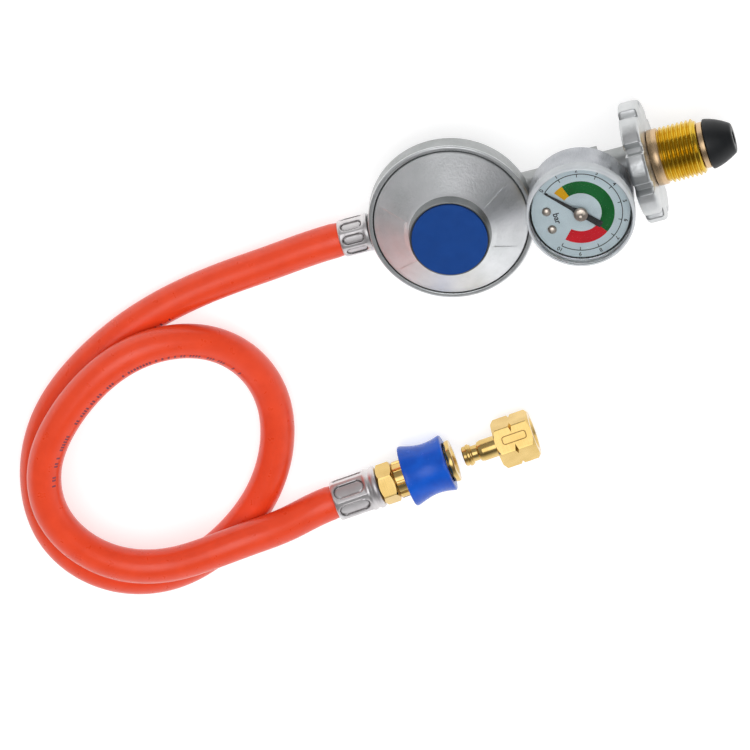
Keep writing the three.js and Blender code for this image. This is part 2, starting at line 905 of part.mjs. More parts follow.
// The ring round the mouth that stops the sleeve and guides the plug.
function mouthRing() {
  return turnedX([
    [49.3, BODY_R + GAP],
    [49.3, MOUTH_RING_R - 0.3],
    [50.2, MOUTH_RING_R],
    [MOUTH, MOUTH_RING_R],
    [MOUTH, 6],
    [MOUTH - 1.1, SOCKET_R + 0.1],
    [50.3, SOCKET_R + 0.1],
    [50.3, BODY_R + GAP],
  ], 20);
}

// The blue sleeve that is drawn back to free the balls: waisted, with a flared rim at each end.
function releaseSleeve() {
  const outer = [
    [SLEEVE_LEFT, SLEEVE_RIM_R - 0.8],
    [SLEEVE_LEFT + 0.9, SLEEVE_RIM_R],
    [SLEEVE_LEFT + 2.2, SLEEVE_RIM_R - 0.3],
    [SLEEVE_LEFT + 5.5, 11.35],
    [SLEEVE_LEFT + 8.5, SLEEVE_WAIST_R + 0.1],
    [SLEEVE_LEFT + 10.5, SLEEVE_WAIST_R],
    [SLEEVE_LEFT + 13, SLEEVE_WAIST_R + 0.25],
    [SLEEVE_LEFT + 15.5, 11.2],
    [SLEEVE_RIGHT - 0.9, SLEEVE_FRONT_R],
    [SLEEVE_RIGHT, SLEEVE_FRONT_R - 0.8],
  ];
  return turnedX([
    [SLEEVE_LEFT, 9.6],
    ...outer,
    [SLEEVE_RIGHT, 8.3],
    [45.9, 8.3],
    [45.6, SLEEVE_BORE_R],
    [42.2, SLEEVE_BORE_R],
    [42.2, 9.6],
  ], 22);
}

function sleeveSpring() {
  return coil(8.45, 0.5, 32.6, 41.3, 4).rotateY(Math.PI / 2);
}

// The valve that the plug pushes open.
function poppet() {
  return turnedX([
    [30.6, 0],
    [30.6, 1.2],
    [34.4, 1.2],
    [34.4, 4.6],
    [35.5, 4.6],
    [35.5, 2.9],
    [38.8, 2.9],
    [38.8, 0],
  ], 16);
}

function poppetSeal() {
  return pipeX(4.5, 3.2, 35.8, 36.6, 20);
}

function poppetSpring() {
  return coil(2.6, 0.4, 29.9, 33.7, 3, 8).rotateY(Math.PI / 2);
}

function lockingBall(index) {
  const ball = new THREE.SphereGeometry(BALL_R, 8, 6);
  return ball.translate(0, 0, BALL_ORBIT).rotateX((45 + index * 90) * DEG).translate(BALL_X, 0, 0);
}

// The tail plug: a nose that pushes the poppet, the groove that the balls seat in, a collar, and a
// hexagonal end with a female gas thread.
function tailPlug() {
  const tip = PLUG_TIP;
  const stem = turnedX([
    [tip, 2.2],
    [tip, 3.7],
    [tip + 0.4, 4.1],
    [tip + 1.7, 4.1],
    [tip + 1.9, 4.5],
    [tip + 2.9, 4.5],
    [tip + 3.1, 4.1],
    [tip + 3.6, 4.1],
    [tip + 3.85, 3.3],
    [tip + 6.2, 3.3],
    [tip + 6.8, 4.4],
    [PLUG_HEX_LEFT + 1, 4.4],
    [PLUG_HEX_LEFT + 1, 2.2],
  ], 16);
  const hex = hexX(PLUG_HEX_FLATS, PLUG_HEX_LEFT, PLUG_HEX_RIGHT, 1.3, PLUG_HEX_TURN);
  const thread = turnedX([
    [75.6, 0],
    [75.6, PLUG_THREAD_R - 0.6],
    [76.2, PLUG_THREAD_R],
    [PLUG_HEX_RIGHT - 0.9, PLUG_THREAD_R],
    [PLUG_HEX_RIGHT + 0.1, PLUG_THREAD_R + 1],
    [PLUG_HEX_RIGHT + 0.1, 0],
  ], 20);
  return cut(join(stem, hex), rodX(2.2, tip - 1, 80, 16), thread);
}

// ---------------------------------------------------------------- assembly
function regulatorPlacement(group) {
  group.position.set(CASING_X, 0, AXIS_HEIGHT);
  group.rotation.set(0, -TILT, YAW, "ZYX");
  return group;
}

function regulatorMatrix() {
  const probe = regulatorPlacement(new THREE.Group());
  probe.updateMatrix();
  return probe.matrix;
}

const regulator = regulatorPlacement(new THREE.Group());
regulator.add(
  piece("lower_casing", lowerCasing(), zinc),
  piece("upper_cover", upperCover(), zinc),
  piece("center_cap", centerCap(), blueCap),
  piece("adjusting_screw", adjustingScrew(), brass),
  piece("main_spring", coil(9, 0.9, PLATE_Z + 2.2, 21, 5), steel),
  piece("diaphragm", diaphragm(), blackRubber),
  piece("diaphragm_plate", diaphragmPlate(), steel),
  piece("diaphragm_stem", diaphragmStem(), steel),
  piece("lever", lever(), steel),
  piece("lever_pin", leverPin(), steel),
  piece("inlet_nozzle", inletNozzle(), brass),
  piece("valve_holder", valveHolder(), brass),
  piece("valve_pad", valvePad(), blackRubber),
  piece("handwheel", handwheel(), zinc),
  piece("threaded_sleeve", threadedSleeve(), brass),
  piece("inlet_spigot", inletSpigot(), brass),
  piece("bullnose_seal", bullnoseSeal(), blackRubber),
  piece("outlet_tail", outletTail(), brass),
  piece("ferrule_regulator_end", ferruleRegulatorEnd(), steel),
);

const gauge = new THREE.Group();
gauge.position.set(GAUGE_X, 0, 0);
gauge.add(
  piece("gauge_socket", gaugeSocket(), brass),
  piece("gauge_gasket", gaugeGasket(), blackRubber),
  piece("gauge_case", gaugeCase(), steel),
  piece("gauge_lens", gaugeLens(), clear),
  piece("gauge_dial", gaugeDial(), dialWhite),
  piece("dial_screw_1", dialScrew(DIAL_SCREW_ANGLES[0]), steel),
  piece("dial_screw_2", dialScrew(DIAL_SCREW_ANGLES[1]), steel),
  piece("bourdon_tube", bourdonTube(), brass),
  piece("movement_frame", movementFrame(), brass),
  piece("pointer_shaft", pointerShaft(), steel),
  piece("pointer", pointer(), pointerBlack),
  piece("pointer_cap", pointerCap(), steel),
  piece("sector_gear", sectorGear(), brass),
  piece("sector_link", sectorLink(), brass),
);
regulator.add(gauge);

const coupling = new THREE.Group();
coupling.position.set(COUPLING_X, COUPLING_Y, COUPLING_Z);
coupling.add(
  piece("ferrule_coupling_end", ferruleCouplingEnd(), steel),
  piece("coupling_tail", couplingTail(), brass),
  piece("coupling_body", couplingBody(), brass),
  piece("coupling_seal", couplingSeal(), blackRubber),
  piece("mouth_ring", mouthRing(), brass),
  piece("release_sleeve", releaseSleeve(), bluePlastic),
  piece("sleeve_spring", sleeveSpring(), steel),
  piece("poppet", poppet(), brass),
  piece("poppet_seal", poppetSeal(), blackRubber),
  piece("poppet_spring", poppetSpring(), steel),
  piece("tail_plug", tailPlug(), brass),
);
for (let i = 0; i < BALLS; i++) {
  coupling.add(piece(`locking_ball_${i + 1}`, lockingBall(i), steel));
}

const assembly = new THREE.Group();
assembly.add(regulator, coupling, piece("hose", hose(), hoseRubber));

export default assembly;
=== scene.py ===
import math

import bmesh
import bpy
from mathutils import Matrix, Vector
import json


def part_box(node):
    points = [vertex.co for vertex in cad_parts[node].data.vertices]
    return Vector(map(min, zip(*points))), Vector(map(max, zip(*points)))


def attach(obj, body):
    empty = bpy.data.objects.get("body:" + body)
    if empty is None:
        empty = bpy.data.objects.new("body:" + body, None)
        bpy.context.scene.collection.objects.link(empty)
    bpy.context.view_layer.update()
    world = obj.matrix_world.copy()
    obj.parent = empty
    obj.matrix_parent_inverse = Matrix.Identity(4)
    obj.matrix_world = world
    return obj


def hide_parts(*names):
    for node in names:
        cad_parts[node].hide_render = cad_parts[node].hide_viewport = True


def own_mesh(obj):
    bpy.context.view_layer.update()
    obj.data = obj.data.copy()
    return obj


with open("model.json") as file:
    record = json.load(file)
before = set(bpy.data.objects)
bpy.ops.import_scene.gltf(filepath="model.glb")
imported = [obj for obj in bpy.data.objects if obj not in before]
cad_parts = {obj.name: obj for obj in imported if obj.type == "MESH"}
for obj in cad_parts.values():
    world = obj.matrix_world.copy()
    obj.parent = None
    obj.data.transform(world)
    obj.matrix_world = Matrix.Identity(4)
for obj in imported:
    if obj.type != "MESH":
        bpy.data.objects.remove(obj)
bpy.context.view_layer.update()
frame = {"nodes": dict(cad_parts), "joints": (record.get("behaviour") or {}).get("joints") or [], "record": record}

# Lengths are millimetres in a sub-assembly's own frame, and metres everywhere else.
MM = 0.001
FULL_TURN = 2 * math.pi


# ---------------------------------------------------------------- places, from the frame
joints = {joint["name"]: joint for joint in frame["joints"]}
mounts = {mount["name"]: mount for mount in frame["record"]["mounts"]}

BACK_Z = -16.3  # the casing's back, from the pipe's axis
GAUGE_X = 54


def placed(origin, along_x, along_z):
    """The matrix of a frame in millimetres with these axes."""
    axes = Matrix((along_x, along_z.cross(along_x), along_z)).transposed()
    return Matrix.Translation(origin) @ axes.to_4x4() @ Matrix.Scale(MM, 4)


pipe_axis = Vector(joints["handwheel_spin"]["axis"])
casing_axis = Vector(joints["diaphragm_lift"]["axis"])
casing_back = Vector(mounts["casing_back"]["pos_m"])
REGULATOR = placed(casing_back - BACK_Z * MM * casing_axis, pipe_axis, casing_axis)
GAUGE = REGULATOR @ Matrix.Translation((GAUGE_X, 0, 0))

ferrule_low, ferrule_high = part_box("ferrule_coupling_end")
ferrule_middle = (ferrule_low + ferrule_high) / 2
coupling_start = Vector((ferrule_low.x, ferrule_middle.y, ferrule_middle.z))
COUPLING = placed(coupling_start, Vector((1, 0, 0)), Vector((0, 0, 1)))

# ---------------------------------------------------------------- camera
LOOK_AT = Vector((-0.0967, -0.0647, 0))
CAMERA_DISTANCE = 2.5
CAMERA_LENS = 295.3
CAMERA_LEAN = math.radians(24.82)  # from straight down
LEAN_DIRECTION = math.radians(15.12)  # from +Y towards +X
PICTURE_UP = math.radians(20.07)  # from +Y towards +X


def on_floor(direction):
    return Vector((math.sin(direction), math.cos(direction), 0))


def add_camera():
    lean = on_floor(LEAN_DIRECTION) * math.sin(CAMERA_LEAN)
    back = lean + Vector((0, 0, math.cos(CAMERA_LEAN)))
    up = on_floor(PICTURE_UP)
    up = (up - up.dot(back) * back).normalized()
    data = bpy.data.cameras.new("camera")
    data.lens = CAMERA_LENS
    data.sensor_width = 36
    data.clip_end = 20
    camera = bpy.data.objects.new("camera", data)
    bpy.context.collection.objects.link(camera)
    axes = Matrix((up.cross(back), up, back)).transposed().to_4x4()
    camera.matrix_world = Matrix.Translation(LOOK_AT + CAMERA_DISTANCE * back) @ axes
    bpy.context.scene.camera = camera


# ---------------------------------------------------------------- materials
def new_material(name, base, roughness, metallic=0.0, **sockets):
    """A material and its shader, with these values on the shader's own sockets."""
    material = bpy.data.materials.new(name)
    material.use_nodes = True
    shader = material.node_tree.nodes["Principled BSDF"]
    shader.inputs["Base Color"].default_value = (*base, 1)
    shader.inputs["Roughness"].default_value = roughness
    shader.inputs["Metallic"].default_value = metallic
    for socket, value in sockets.items():
        shader.inputs[socket.replace("_", " ")].default_value = value
    return material


def noise_of(material, scale, detail=3.0, stretch=(1, 1, 1)):
    """A noise pattern's value. The scale is in waves per metre, times the stretch on each axis."""
    nodes = material.node_tree.nodes
    links = material.node_tree.links
    place = nodes.new("ShaderNodeTexCoord")
    mapping = nodes.new("ShaderNodeMapping")
    mapping.inputs["Scale"].default_value = stretch
    noise = nodes.new("ShaderNodeTexNoise")
    noise.inputs["Scale"].default_value = scale
    noise.inputs["Detail"].default_value = detail
    links.new(place.outputs["Object"], mapping.inputs["Vector"])
    links.new(mapping.outputs["Vector"], noise.inputs["Vector"])
    return noise.outputs["Fac"]


def spread(material, value, low, high):
    """The middle of a noise's range, spread from low to high."""
    reach = material.node_tree.nodes.new("ShaderNodeMapRange")
    reach.inputs["From Min"].default_value = 0.3
    reach.inputs["From Max"].default_value = 0.7
    reach.inputs["To Min"].default_value = low
    reach.inputs["To Max"].default_value = high
    material.node_tree.links.new(value, reach.inputs["Value"])
    return reach.outputs["Result"]


def colour_between(material, value, first, second):
    mix = material.node_tree.nodes.new("ShaderNodeMix")
    mix.data_type = "RGBA"
    mix.inputs["A"].default_value = (*first, 1)
    mix.inputs["B"].default_value = (*second, 1)
    material.node_tree.links.new(value, mix.inputs["Factor"])
    return mix.outputs["Result"]


def into_shader(material, value, socket):
    shader = material.node_tree.nodes["Principled BSDF"]
    material.node_tree.links.new(value, shader.inputs[socket])


def bumped(material, height, depth, strength=1.0):
    """Adds a relief of this depth, in metres."""
    bump = material.node_tree.nodes.new("ShaderNodeBump")
    bump.inputs["Strength"].default_value = strength
    bump.inputs["Distance"].default_value = depth
    material.node_tree.links.new(height, bump.inputs["Height"])
    into_shader(material, bump.outputs["Normal"], "Normal")


def zinc(name, dark, light, polish=(0.28, 0.44), grain=0.0001):
    """Die-cast zinc: cloudy, with the fine grain of a tumbled casting."""
    material = new_material(name, light, sum(polish) / 2, 0.95)
    clouds = spread(material, noise_of(material, 90, 5), 0, 1)
    into_shader(material, colour_between(material, clouds, dark, light), "Base Color")
    into_shader(material, spread(material, noise_of(material, 700, 4), *polish), "Roughness")
    bumped(material, noise_of(material, 1000, 3), grain, 0.6)
    return material


def turned_metal(name, dark, light, roughness, metallic=1.0):
    """Machined metal, with fine turning marks round the X axis."""
    material = new_material(name, light, roughness, metallic)
    marks = noise_of(material, 60, 3, (60, 1, 1))
    tint = spread(material, noise_of(material, 120, 3), 0, 1)
    into_shader(material, colour_between(material, tint, dark, light), "Base Color")
    into_shader(material, spread(material, marks, roughness * 0.75, roughness * 1.3), "Roughness")
    bumped(material, marks, 0.00002, 0.35)
    return material


def moulded(name, dark, light, roughness, grain=0.00003, waves=2200, **sockets):
    """Plastic or rubber, with a faint cloud in its colour and a fine grain."""
    material = new_material(name, light, roughness, 0.0, **sockets)
    tint = spread(material, noise_of(material, 150, 3), 0, 1)
    into_shader(material, colour_between(material, tint, dark, light), "Base Color")
    polish = spread(material, noise_of(material, 250, 2), roughness * 0.9, roughness * 1.1)
    into_shader(material, polish, "Roughness")
    bumped(material, noise_of(material, waves, 2), grain, 0.2)
    return material


HOSE_DARK = (0.76, 0.056, 0.014)
HOSE_LIGHT = (0.82, 0.066, 0.018)
DASH_PITCH = 0.0014
DASH_SHARE = 0.62  # of the pitch
DASH_GAPS = 0.3  # the share of dashes left out
DASH_SIDE = 0.1  # of a turn, from the top of the hose to the inside of the loop
DASH_HALF_WIDTH = 0.02
FIRST_PRINT = 0.107  # the middles of the printed stretches, along the hose
FIRST_PRINT_REACH = 0.022
SECOND_PRINT = 0.445
SECOND_PRINT_REACH = 0.06
INK_STRENGTH = 0.8
INK_COLOUR = (0.03, 0.02, 0.06, 1)


def hose_rubber():
    """Orange-red rubber, with a row of short printed dashes along the inside of the loop."""
    material = moulded("hose_rubber", HOSE_DARK, HOSE_LIGHT, 0.3, 0.00006, 300)
    nodes = material.node_tree.nodes
    links = material.node_tree.links
    rubber = nodes["Principled BSDF"].inputs["Base Color"].links[0].from_socket

    def math_node(operation, first, second):
        node = nodes.new("ShaderNodeMath")
        node.operation = operation
        for socket, value in zip(node.inputs, (first, second)):
            if isinstance(value, float):
                socket.default_value = value
            else:
                links.new(value, socket)
        return node.outputs["Value"]

    uv = nodes.new("ShaderNodeTexCoord")
    split = nodes.new("ShaderNodeSeparateXYZ")
    links.new(uv.outputs["UV"], split.inputs["Vector"])
    along = math_node("DIVIDE", split.outputs["X"], DASH_PITCH)
    cell = math_node("FLOOR", along, 0.0)
    inside = math_node("SUBTRACT", along, cell)
    chance = nodes.new("ShaderNodeTexWhiteNoise")
    chance.noise_dimensions = "1D"
    links.new(cell, chance.inputs["W"])
    printed = math_node("GREATER_THAN", chance.outputs["Value"], DASH_GAPS)
    dash = math_node("LESS_THAN", inside, DASH_SHARE)
    early = math_node("COMPARE", split.outputs["X"], FIRST_PRINT)
    late = math_node("COMPARE", split.outputs["X"], SECOND_PRINT)
    early.node.inputs[2].default_value = FIRST_PRINT_REACH
    late.node.inputs[2].default_value = SECOND_PRINT_REACH
    stretch = math_node("MAXIMUM", early, late)
    aside = math_node("SUBTRACT", split.outputs["Y"], DASH_SIDE)
    near = math_node("LESS_THAN", math_node("ABSOLUTE", aside, 0.0), DASH_HALF_WIDTH)
    marks = math_node("MULTIPLY", printed, dash)
    band = math_node("MULTIPLY", near, stretch)
    ink = math_node("MULTIPLY", marks, band)
    mix = nodes.new("ShaderNodeMix")
    mix.data_type = "RGBA"
    mix.inputs["B"].default_value = INK_COLOUR
    links.new(math_node("MULTIPLY", ink, INK_STRENGTH), mix.inputs["Factor"])
    links.new(rubber, mix.inputs["A"])
    links.new(mix.outputs["Result"], nodes["Principled BSDF"].inputs["Base Color"])
    return material


CASING_ZINC = zinc("casing_zinc", (0.30, 0.315, 0.31), (0.40, 0.41, 0.41))
COVER_ZINC = zinc("cover_zinc", (0.70, 0.72, 0.72), (0.84, 0.85, 0.86), (0.38, 0.50), 0.0002)
# A lighter copy of the casing's zinc for the top of its flange: painted light.
RIM_LIT_ZINC = zinc("rim_painted_light_zinc", (0.62, 0.64, 0.64), (0.74, 0.76, 0.76))
WHEEL_ZINC = zinc("wheel_zinc", (0.52, 0.54, 0.54), (0.66, 0.67, 0.67))
CAP_BLUE = moulded("cap_blue", (0.004, 0.044, 0.21), (0.005, 0.050, 0.235), 0.6, Specular_IOR_Level=0.25)
BRASS = turned_metal("brass", (0.66, 0.45, 0.15), (0.78, 0.56, 0.22), 0.17)
THREAD_BRASS = turned_metal("thread_brass", (0.62, 0.40, 0.03), (0.76, 0.53, 0.07), 0.15)
DULL_BRASS = turned_metal("dull_brass", (0.60, 0.42, 0.24), (0.72, 0.52, 0.32), 0.3)
# Dark brass for the plug's raised frame: painted shade along its edges.
FRAME_SHADE_BRASS = turned_metal("frame_painted_shade_brass", (0.30, 0.17, 0.05), (0.42, 0.26, 0.09), 0.3)
# Dark steel for the groove round each crimp pad: painted shade in the crease.
CREASE_SHADE_STEEL = turned_metal("crease_painted_shade_steel", (0.16, 0.145, 0.145), (0.25, 0.23, 0.23), 0.4)
CRIMP_STEEL = turned_metal("crimp_steel", (0.66, 0.63, 0.63), (0.78, 0.76, 0.76), 0.38)
CASE_STEEL = turned_metal("case_steel", (0.33, 0.345, 0.37), (0.44, 0.455, 0.48), 0.3)
PLATED_STEEL = turned_metal("plated_steel", (0.62, 0.60, 0.59), (0.72, 0.70, 0.69), 0.26)
SPRING_STEEL = turned_metal("spring_steel", (0.45, 0.45, 0.46), (0.56, 0.56, 0.57), 0.3)
SEAL_RUBBER = moulded("seal_rubber", (0.010, 0.010, 0.010), (0.018, 0.018, 0.018), 0.55)
NOSE_RUBBER = moulded("nose_rubber", (0.006, 0.007, 0.008), (0.012, 0.013, 0.014), 0.42,
                      Specular_IOR_Level=0.3)
SLEEVE_BLUE = moulded("sleeve_blue", (0.003, 0.070, 0.46), (0.005, 0.105, 0.60), 0.25, 0.000008,
                      Specular_IOR_Level=0.35)
DIAL_PAINT = moulded("dial_paint", (0.50, 0.58, 0.62), (0.56, 0.64, 0.68), 0.45, Specular_IOR_Level=0.2)
DIAL_INK = moulded("dial_ink", (0.015, 0.016, 0.018), (0.025, 0.026, 0.03), 0.5)
DIAL_GREEN = moulded("dial_green", (0.004, 0.10, 0.018), (0.006, 0.13, 0.026), 0.45,
                     Specular_IOR_Level=0.1)
DIAL_YELLOW = moulded("dial_yellow", (0.68, 0.34, 0.002), (0.76, 0.39, 0.004), 0.45,
                      Specular_IOR_Level=0.1)
DIAL_RED = moulded("dial_red", (0.56, 0.005, 0.014), (0.64, 0.008, 0.02), 0.45, Specular_IOR_Level=0.1)
POINTER_BLACK = moulded("pointer_black", (0.008, 0.008, 0.009), (0.014, 0.014, 0.016), 0.4)
# Grey, mostly opaque plastic for the edge of the clear lens: painted reflection in its thick edge.
LENS_RIM_REFLECTION = moulded("lens_rim_painted_reflection", (0.58, 0.61, 0.63), (0.68, 0.71, 0.73), 0.14, 0.000004,
                   Transmission_Weight=0.2)
HUB_STEEL = turned_metal("hub_steel", (0.42, 0.35, 0.30), (0.56, 0.48, 0.42), 0.36)
# A darker copy of the cover's zinc for the boss round the cap: painted shade.
BOSS_SHADE_ZINC = zinc("boss_painted_shade_zinc", (0.19, 0.20, 0.20), (0.26, 0.27, 0.27))
LENS = moulded("lens", (0.96, 0.98, 0.98), (0.98, 1, 1), 0.03, 0.000002,
               Transmission_Weight=1.0, IOR=1.3)


# ---------------------------------------------------------------- meshes
def finish_piece(piece, name, material, body="root", replaces=()):
    """Names a piece, gives it its material, hangs it on its body and hides the CAD nodes that it replaces."""
    piece.name = name
    piece.data.name = name
    piece.data.materials.clear()
    piece.data.materials.append(material)
    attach(piece, body)
    if replaces:
        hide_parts(*replaces)
    return piece


def two_tone(piece, material, place, is_second):
    """Puts a second material on the faces whose middles, in the place's own frame, pass a test."""
    piece.data.materials.append(material)
    to_local = place.inverted()
    for polygon in piece.data.polygons:
        polygon.material_index = int(is_second(to_local @ polygon.center))


def in_scene(data):
    made = bpy.data.objects.new("raw", data)
    bpy.context.collection.objects.link(made)
    return made


def faced_out(mesh, merge):
    """Joins corners closer than the merge, if it isn't zero, and points the faces out."""
    build = bmesh.new()
    build.from_mesh(mesh)
    if merge:
        bmesh.ops.remove_doubles(build, verts=build.verts, dist=merge)
    bmesh.ops.recalc_face_normals(build, faces=build.faces)
    build.to_mesh(mesh)
    build.free()


def raw_object(verts, faces, place=None):
    """A mesh object of these corners and faces."""
    mesh = bpy.data.meshes.new("raw")
    corners = verts if place is None else [place @ Vector(corner) for corner in verts]
    mesh.from_pydata(corners, [], faces)
    faced_out(mesh, 1e-7)
    return in_scene(mesh)


def shade(piece, crease=32):
    """Smooth shading, apart from edges sharper than the crease, in degrees."""
    piece.data.shade_smooth()
    piece.data.set_sharp_from_angle(angle=math.radians(crease))
    return piece


def softened(profile, radius, closed=False, steps=3):
    """The profile with its corners rounded, as far as its edges allow."""
    points = [Vector(point) for point in profile]
    count = len(points)
    made = []
    for i, corner in enumerate(points):
        if not closed and i in (0, count - 1):
            made.append(tuple(corner))
            continue
        back = points[i - 1] - corner
        ahead = points[(i + 1) % count] - corner
        start = corner + back.normalized() * min(radius, 0.4 * back.length)
        end = corner + ahead.normalized() * min(radius, 0.4 * ahead.length)
        for step in range(steps + 1):
            t = step / steps
            made.append(tuple((1 - t) ** 2 * start + 2 * t * (1 - t) * corner + t * t * end))
    return made


def along_x(place, radius, angle):
    """Angles are from +Z towards +Y."""
    return (place, radius * math.sin(angle), radius * math.cos(angle))


def along_z(place, radius, angle):
    """Angles are from +X towards +Y."""
    return (radius * math.cos(angle), radius * math.sin(angle), place)


def turned(profile, axis=along_x, sides=128, start=0.0):
    """The corners and faces of a turned solid. An entry of the profile is (place along the
    axis, radius), or a function of the angle that gives them. A profile that doesn't start
    and end on the axis closes on itself."""
    verts = []
    rows = []
    for entry in profile:
        if not callable(entry) and abs(entry[1]) < 1e-9:
            rows.append([len(verts)] * sides)
            verts.append(axis(entry[0], 0, 0))
            continue
        rows.append(list(range(len(verts), len(verts) + sides)))
        for i in range(sides):
            angle = start + FULL_TURN * i / sides
            place, radius = entry(angle) if callable(entry) else entry
            verts.append(axis(place, radius, angle))
    pairs = list(zip(rows, rows[1:]))
    if len(set(rows[0])) > 1:
        pairs.append((rows[-1], rows[0]))
    faces = []
    for first, second in pairs:
        for i in range(sides):
            j = (i + 1) % sides
            corners = list(dict.fromkeys((first[i], first[j], second[j], second[i])))
            if len(corners) > 2:
                faces.append(corners)
    return verts, faces


def turned_piece(name, profile, place, material, body="root", replaces=None,
                 axis=along_x, sides=128, start=0.0, crease=32):
    made = raw_object(*turned(profile, axis, sides, start), place)
    replaced = (name,) if replaces is None else replaces
    return finish_piece(shade(made, crease), name, material, body, replaced)


def smooth_step(value, low, high):
    share = min(max((value - low) / (high - low), 0.0), 1.0)
    return share * share * (3 - 2 * share)


def angle_off(angle, middle):
    """How far an angle is from another, from minus half a turn to half a turn."""
    return (angle - middle + math.pi) % FULL_TURN - math.pi


def combined(base, others, operation):
    """Joins or cuts solids."""
    for other in others:
        step = base.modifiers.new("step", "BOOLEAN")
        step.operation = operation
        step.solver = "MANIFOLD"
        step.object = other
        apply_modifiers(base)
        bpy.data.objects.remove(other)
    return base


def apply_modifiers(obj):
    bpy.context.view_layer.update()
    evaluated = obj.evaluated_get(bpy.context.evaluated_depsgraph_get())
    mesh = bpy.data.meshes.new_from_object(evaluated)
    obj.modifiers.clear()
    obj.data = mesh


def cast(obj, voxel, rounds):
    """Rounds every edge and inside corner of a joined solid, as a casting's are."""
    remesh = obj.modifiers.new("remesh", "REMESH")
    remesh.mode = "VOXEL"
    remesh.voxel_size = voxel
    relax = obj.modifiers.new("relax", "SMOOTH")
    relax.factor = 0.5
    relax.iterations = rounds
    apply_modifiers(obj)
    return obj


def box_object(x0, x1, y0, y1, z0, z1):
    corners = [(x, y, z) for x in (x0, x1) for y in (y0, y1) for z in (z0, z1)]
    faces = [(0, 1, 3, 2), (4, 6, 7, 5), (0, 4, 5, 1), (2, 3, 7, 6), (0, 2, 6, 4), (1, 5, 7, 3)]
    return raw_object(corners, faces)


def rod_x(radius, left, right, sides=64):
    return raw_object(*turned([(left, 0), (left, radius), (right, radius), (right, 0)], along_x, sides))


def rod_z(radius, low, top, centre=(0, 0), sides=64):
    made = raw_object(*turned([(low, 0), (low, radius), (top, radius), (top, 0)], along_z, sides))
    made.data.transform(Matrix.Translation((*centre, 0)))
    return made


# ---------------------------------------------------------------- hose
# The same route as the CAD hose: control points of a clamped cubic B-spline.
HOSE_ROUTE = [
    (-0.0876, 0.0024, 0.0133), (-0.098, 0.0029, 0.0123), (-0.116, 0.0015, 0.0105),
    (-0.1325, 0.001, 0.0085), (-0.1495, 0, 0.0075), (-0.168, -0.0025, 0.0071),
    (-0.1865, -0.0075, 0.0071), (-0.2045, -0.0155, 0.0071), (-0.221, -0.026, 0.0071),
    (-0.234, -0.0405, 0.0071), (-0.2425, -0.059, 0.0071), (-0.245, -0.0795, 0.0071),
    (-0.238, -0.098, 0.0071), (-0.224, -0.111, 0.0071), (-0.206, -0.1165, 0.0071),
    (-0.1875, -0.114, 0.0071), (-0.1695, -0.1055, 0.0071), (-0.1545, -0.0935, 0.0071),
    (-0.143, -0.077, 0.0071), (-0.137, -0.0575, 0.0071), (-0.1395, -0.038, 0.009),
    (-0.1495, -0.022, 0.013), (-0.165, -0.0125, 0.018), (-0.1835, -0.0105, 0.0215),
    (-0.202, -0.0165, 0.0225), (-0.22, -0.0285, 0.0225), (-0.234, -0.044, 0.022),
    (-0.2395, -0.0645, 0.0215), (-0.234, -0.0845, 0.0205), (-0.2205, -0.0995, 0.02),
    (-0.2025, -0.1065, 0.02), (-0.1845, -0.1055, 0.0225), (-0.166, -0.105, 0.022),
    (-0.1505, -0.1075, 0.0175), (-0.138, -0.1065, 0.0127), (-0.13, -0.1065, 0.0127),
]
HOSE_RADIUS = 0.007
CRIMPED_RADIUS = 0.0062
CRIMPED_LENGTH = 0.0096
CRIMP_TAPER = 0.0016
HOSE_SAMPLES = 420
HOSE_SIDES = 40


def b_spline(points, samples, degree=3):
    """Points along a clamped B-spline."""
    spans = len(points) - degree
    knots = [min(max(i - degree, 0), spans) for i in range(len(points) + degree + 1)]
    line = []
    for sample in range(samples + 1):
        t = spans * sample / samples
        first = min(int(t), spans - 1)
        near = [Vector(point) for point in points[first:first + degree + 1]]
        for level in range(1, degree + 1):
            for j in range(degree, level - 1, -1):
                low = knots[first + j]
                high = knots[first + j + degree + 1 - level]
                near[j] = near[j - 1].lerp(near[j], (t - low) / (high - low))
        line.append(near[degree])
    return line


def hose_line():
    """The free hose, and the short straight ends that its ferrules hold."""
    free = b_spline(HOSE_ROUTE, HOSE_SAMPLES)
    into_regulator = [free[0] + pipe_axis * MM * step for step in (10, 7, 4, 2, 1)]
    into_coupling = [free[-1] + Vector((MM * step, 0, 0)) for step in (1, 2, 4, 7, 10)]
    return into_regulator + free + into_coupling


